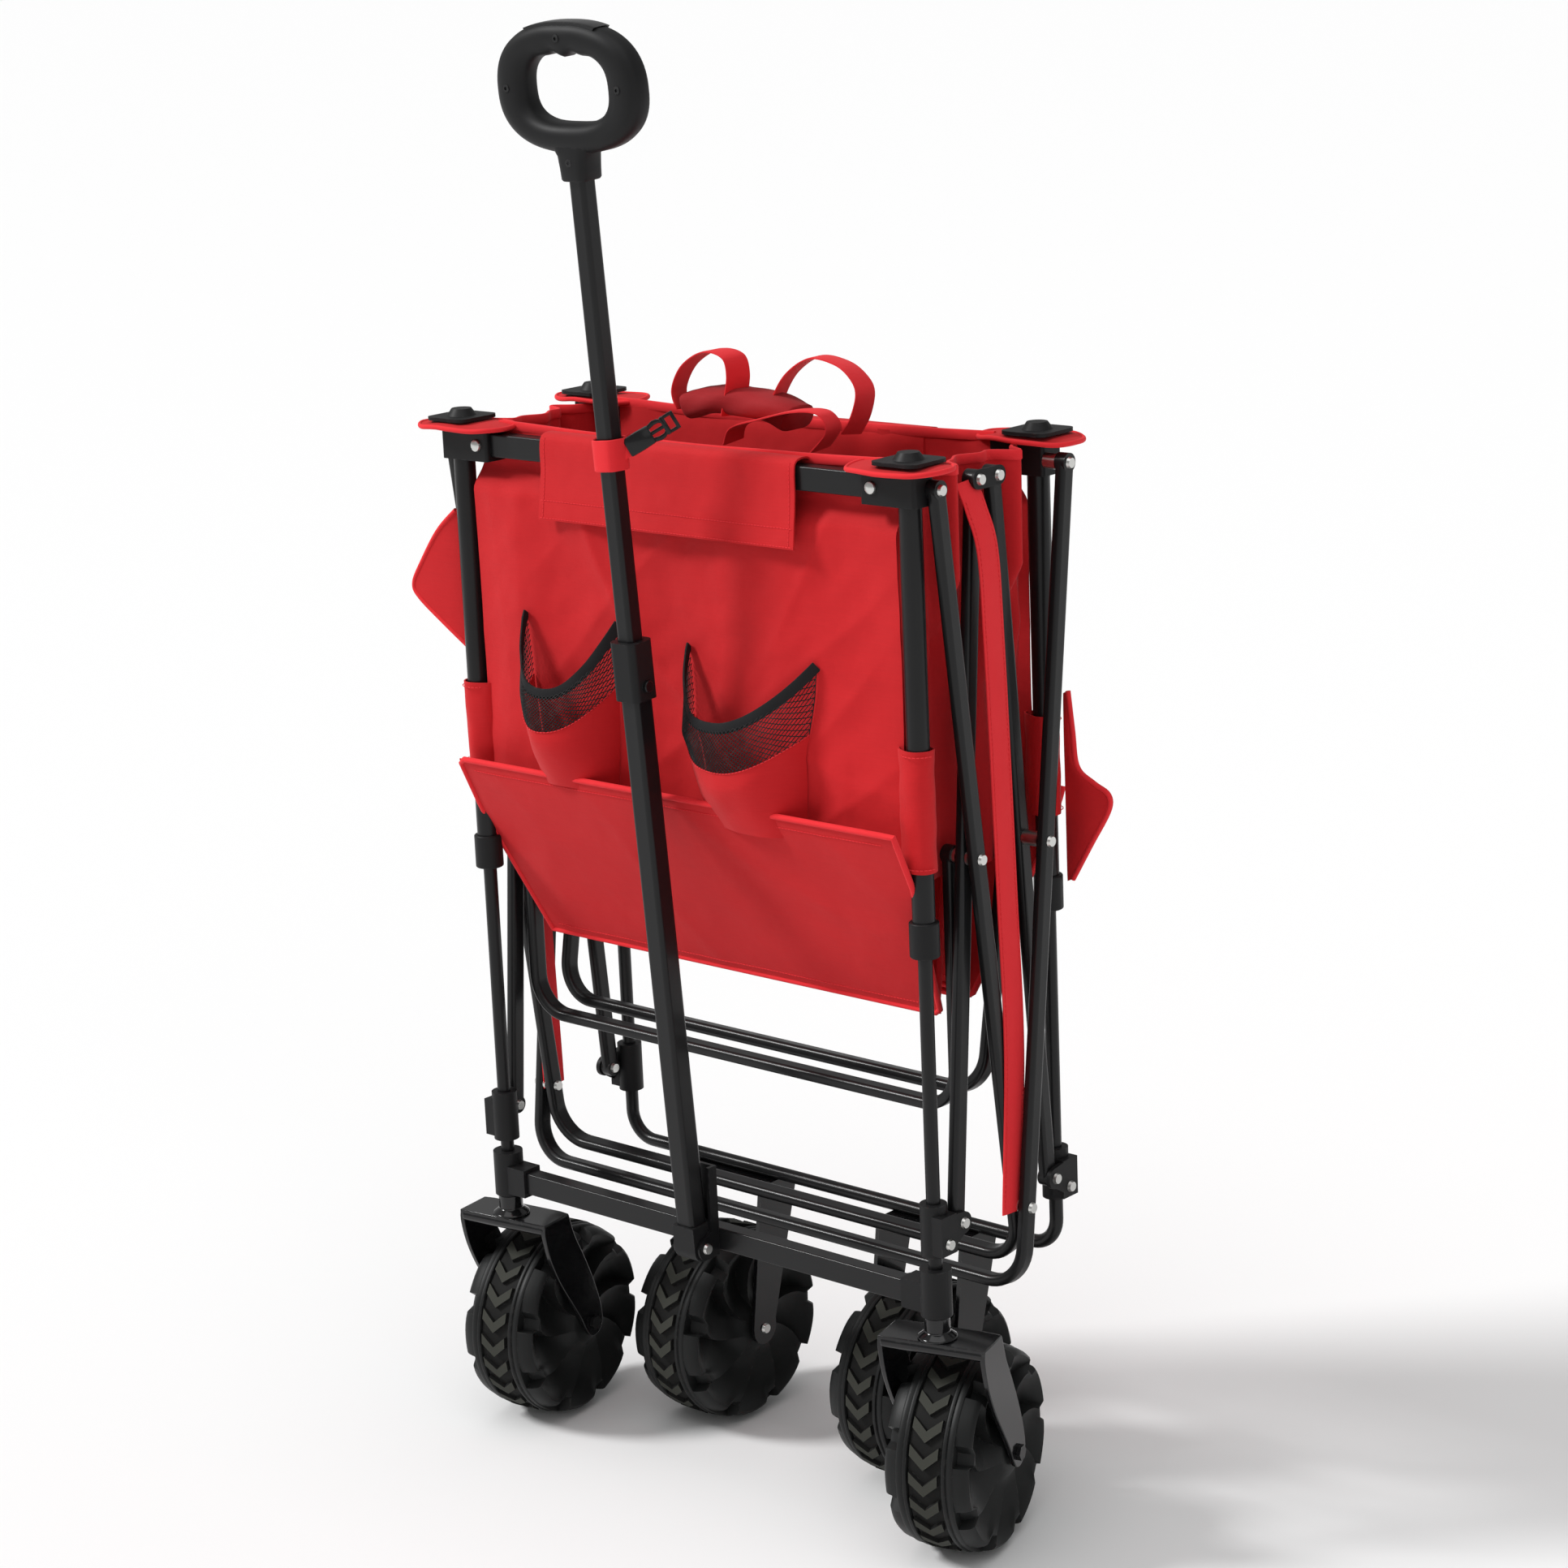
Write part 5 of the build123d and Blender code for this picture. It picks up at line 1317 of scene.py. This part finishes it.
for side, knots in STRAPS.items():
    line = smooth_line(knots, 10)
    sides = [Vector((0, 1, 0.05 * math.sin(k / 9))) for k in range(len(line))]
    swayed = [p + Vector((0.0006 * math.sin(k / 5.0), 0, 0)) for k, p in enumerate(line)]
    strip(f"side_strap_{side}", swayed, sides, STRAP_WIDE, STRAP_THICK, red_webbing, "bow_front",
          "red_webbing")
    out = math.copysign(0.0012, line[-1].x - MID_X)
    for row, edge in (("front", -0.0105), ("back", 0.0105)):
        seam = [p + Vector((out, edge, 0)) for p in swayed[8:-1]]
        sew_seam(f"side_strap_{side}_row_{row}", seam, "bow_front", 0.0042, 0.0026, 0.0003)
    print("strap", side, round(length_of(line), 3), "m")

# %% Pull loops of the floor, folded up in the middle, and the dark wrap they come out of
LOOP_WIDE = 0.025
LOOPS = {
    "front": [at(-58, 76, 952), at(-62, 76, 968), at(-50, 75, 988), at(-30, 75, 1001), at(-12, 75, 1004),
              at(3, 75, 999), at(6, 76, 985), at(2, 77, 968), at(-4, 78, 950)],
    "rear": [at(30, 94, 948), at(34, 95, 966), at(50, 95, 987), at(76, 95, 1001), at(104, 95, 998),
             at(121, 95, 988), at(128, 95, 975), at(122, 95, 955), at(112, 94, 940)],
    "low": [at(6, 66, 930), at(16, 63, 944), at(46, 60, 953), at(84, 60, 962), at(112, 61, 962),
            at(118, 64, 948), at(100, 68, 930)],
}
for name, knots in LOOPS.items():
    line = smooth_line(knots, 9)
    twists = [0.25 * math.sin(k / len(line) * 3.1 + len(name)) for k in range(len(line))]
    sides = [Vector((twist, 1.0, 0.15 * twist)) for twist in twists]
    strip(f"pull_loop_{name}", line, sides, LOOP_WIDE, STRAP_THICK, red_webbing, "floor_mid_front",
          "red_webbing")
    print("loop", name, round(length_of(line), 3), "m")

wrap_knots = [at(-52, 84, 955), at(-30, 84, 960), at(-5, 84, 962), at(20, 85, 960), at(46, 86, 956),
              at(62, 87, 950)]
line = smooth_line(wrap_knots, 8)
rings = []
for i, p in enumerate(line):
    across = Vector((0, 1, 0))
    up = direction(line, i).cross(across)
    end = 0.90 if i in (0, len(line) - 1) else 1.0
    ring = []
    for a in full_turn(20):
        c, d = squarish(a, 0.6, 0.8)
        r = (1 + 0.05 * math.sin(3 * a + i * 0.4)) * end
        ring.append(p + across * (0.0200 * r * c) + up * (0.0115 * r * d))
    rings.append(ring)
points, faces = [], []
add_rings(points, faces, rings)
add_piece("loop_wrap", points, faces, dark_wrap, "floor_mid_front", "red_cloth")

# %% Webbing ring round the pole, with its side buckle
RING_S = 703.5
RING_HALF = 10.6
RING_SECTION = [(-12.5, 0.0), (-13.2, 0.9), (-12.5, 1.8), (12.5, 1.8), (13.2, 0.9), (12.5, 0.0)]
centre = on_pole(0, 0, RING_S)
rings = []
for k in range(49):
    a = 2 * math.pi * k / 48
    c, s = math.cos(a), math.sin(a)
    r = RING_HALF * (abs(c) ** 4 + abs(s) ** 4) ** -0.25
    p = on_pole(r * c, r * s, RING_S + 0.6 * math.sin(2 * a))
    out = p - centre
    out = (out - POLE_UP * out.dot(POLE_UP)).normalized()
    rings.append([p + POLE_UP * (u / 1000) + out * (v / 1000) for u, v in RING_SECTION])
points, faces = [], []
add_rings(points, faces, rings, capped=False)
ring = add_piece("pole_ring", points, faces, red_webbing, "strap", "red_webbing", 40)
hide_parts("handle_strap")
print("pole ring", len(ring.data.polygons), "faces")

# %% The side-release buckle, a socket and a plug with two springy arms
buckle_low, buckle_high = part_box("strap_buckle")
middle = (buckle_low + buckle_high) / 2
run = Vector((0.62, 0.62, 0.48)).normalized()
wide = Vector((-0.35, -0.25, 0.9))
wide = (wide - run * wide.dot(run)).normalized()
deep = run.cross(wide)
# each bar's stations: place along the buckle, offset, half width, half depth
BARS = [
    [(-20, 0, 7.6, 2.6), (-19, 0, 8.2, 3.2), (-8, 0, 8.4, 4.0), (2, 0, 8.0, 4.0), (3, 0, 7.4, 3.4)],
    *[[(2, 5.5 * arm, 1.8, 1.9), (8, 7.0 * arm, 2.0, 2.2), (12, 6.6 * arm, 1.8, 2.2),
       (15, 4.6 * arm, 1.8, 2.2)] for arm in (-1, 1)],
    [(2, 0, 1.5, 1.6), (15, 0, 1.5, 1.8)],
    [(14, 0, 7.6, 2.4), (15, 0, 8.2, 3.0), (17, 0, 8.2, 3.0), (18, 0, 7.6, 2.4)],
    [(18, 6.6, 1.4, 2.0), (24, 6.6, 1.4, 2.0)],
    [(18, -6.6, 1.4, 2.0), (24, -6.6, 1.4, 2.0)],
    [(23.4, 0, 8.0, 2.2), (26.4, 0, 8.0, 2.2)],
]
points, faces = [], []
for stations in BARS:
    rings = []
    for along, offset, half_w, half_d in stations:
        square = [squarish(a, 0.5, 0.5) for a in full_turn(12)]
        rings.append([middle + (run * along + wide * (offset + half_w * c) + deep * (half_d * d)) / 1000
                      for c, d in square])
    add_rings(points, faces, rings)
buckle = add_piece("side_release_buckle", points, faces, smooth_black, "strap", "gloss_black_plastic", 40)
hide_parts("strap_buckle")
knots = [on_pole(9, -11, 706), on_pole(12, -15, 712), middle - run * 0.026, middle - run * 0.016]
strip("buckle_webbing", smooth_line(knots, 8), wide, 0.0145, 0.0016, red_webbing, "strap", "red_webbing")
print("buckle at", [round(v, 3) for v in middle])

# %% [markdown]
# ## Floor, light and camera
# A pale floor and big soft lights show the shapes without hard shadows. The camera stands in front
# and to the right, a little above, far enough away for the uprights to stay nearly parallel.

# %% Studio
ground = bpy.data.meshes.new("floor")
ground.from_pydata([(-30, -30, 0), (30, -30, 0), (30, 30, 0), (-30, 30, 0)], [], [(0, 1, 2, 3)])
floor = bpy.data.objects.new("floor", ground)
bpy.context.scene.collection.objects.link(floor)
pale, tree, shader = finish_tree("pale_floor")
shader.inputs["Base Color"].default_value = (0.86, 0.86, 0.86, 1)
shader.inputs["Roughness"].default_value = 0.85
shader.inputs["Specular IOR Level"].default_value = 0.1
ground.materials.append(pale)
world = bpy.data.worlds.new("soft_room")
bpy.context.scene.world = world
world.use_nodes = True
world.node_tree.nodes["Background"].inputs["Color"].default_value = (1.0, 1.0, 1.0, 1)
world.node_tree.nodes["Background"].inputs["Strength"].default_value = 0.38


def soft_sun(name, direction, strength, softness):
    """An even light from one side, as wide as its angle in degrees."""
    data = bpy.data.lights.new(name, "SUN")
    data.energy = strength
    data.angle = math.radians(softness)
    lamp = bpy.data.objects.new(name, data)
    lamp.matrix_world = Vector(direction).to_track_quat("-Z", "Y").to_matrix().to_4x4()
    bpy.context.scene.collection.objects.link(lamp)


soft_sun("key", (1.15, 0.95, -1.25), 2.3, 13)
soft_sun("top", (-0.15, 0.25, -1.0), 1.0, 60)
soft_sun("side", (-0.9, 0.5, -0.45), 0.14, 30)
print("lights:", len(bpy.data.lights))

# %% Camera
VIEW_PLACE = at(2089.28, -2237.6, 1428.3)
TURN, DOWN, ROLL = math.radians(41.56), math.radians(14.38), math.radians(-2.42)
ahead = Vector((-math.sin(TURN) * math.cos(DOWN), math.cos(TURN) * math.cos(DOWN), -math.sin(DOWN)))
level = Vector((math.cos(TURN), math.sin(TURN), 0))
upright = level.cross(ahead)
right = level * math.cos(ROLL) + upright * math.sin(ROLL)
top = upright * math.cos(ROLL) - level * math.sin(ROLL)
lens = bpy.data.cameras.new("camera")
lens.sensor_width = 36
lens.lens = 85.84
camera = bpy.data.objects.new("camera", lens)
turned = Matrix((right, top, -ahead)).transposed().to_4x4()
camera.matrix_world = Matrix.Translation(VIEW_PLACE) @ turned
bpy.context.scene.collection.objects.link(camera)
bpy.context.scene.camera = camera
bpy.context.scene.view_settings.view_transform = "Standard"
print("camera", [round(v, 3) for v in camera.location], "lens", lens.lens)

# %% [markdown]
# ## Last step
# The dressed wagon must stay the size of its frame; the last cell only brings the scene up to date.

# %% Bring the scene up to date
bpy.context.view_layer.update()
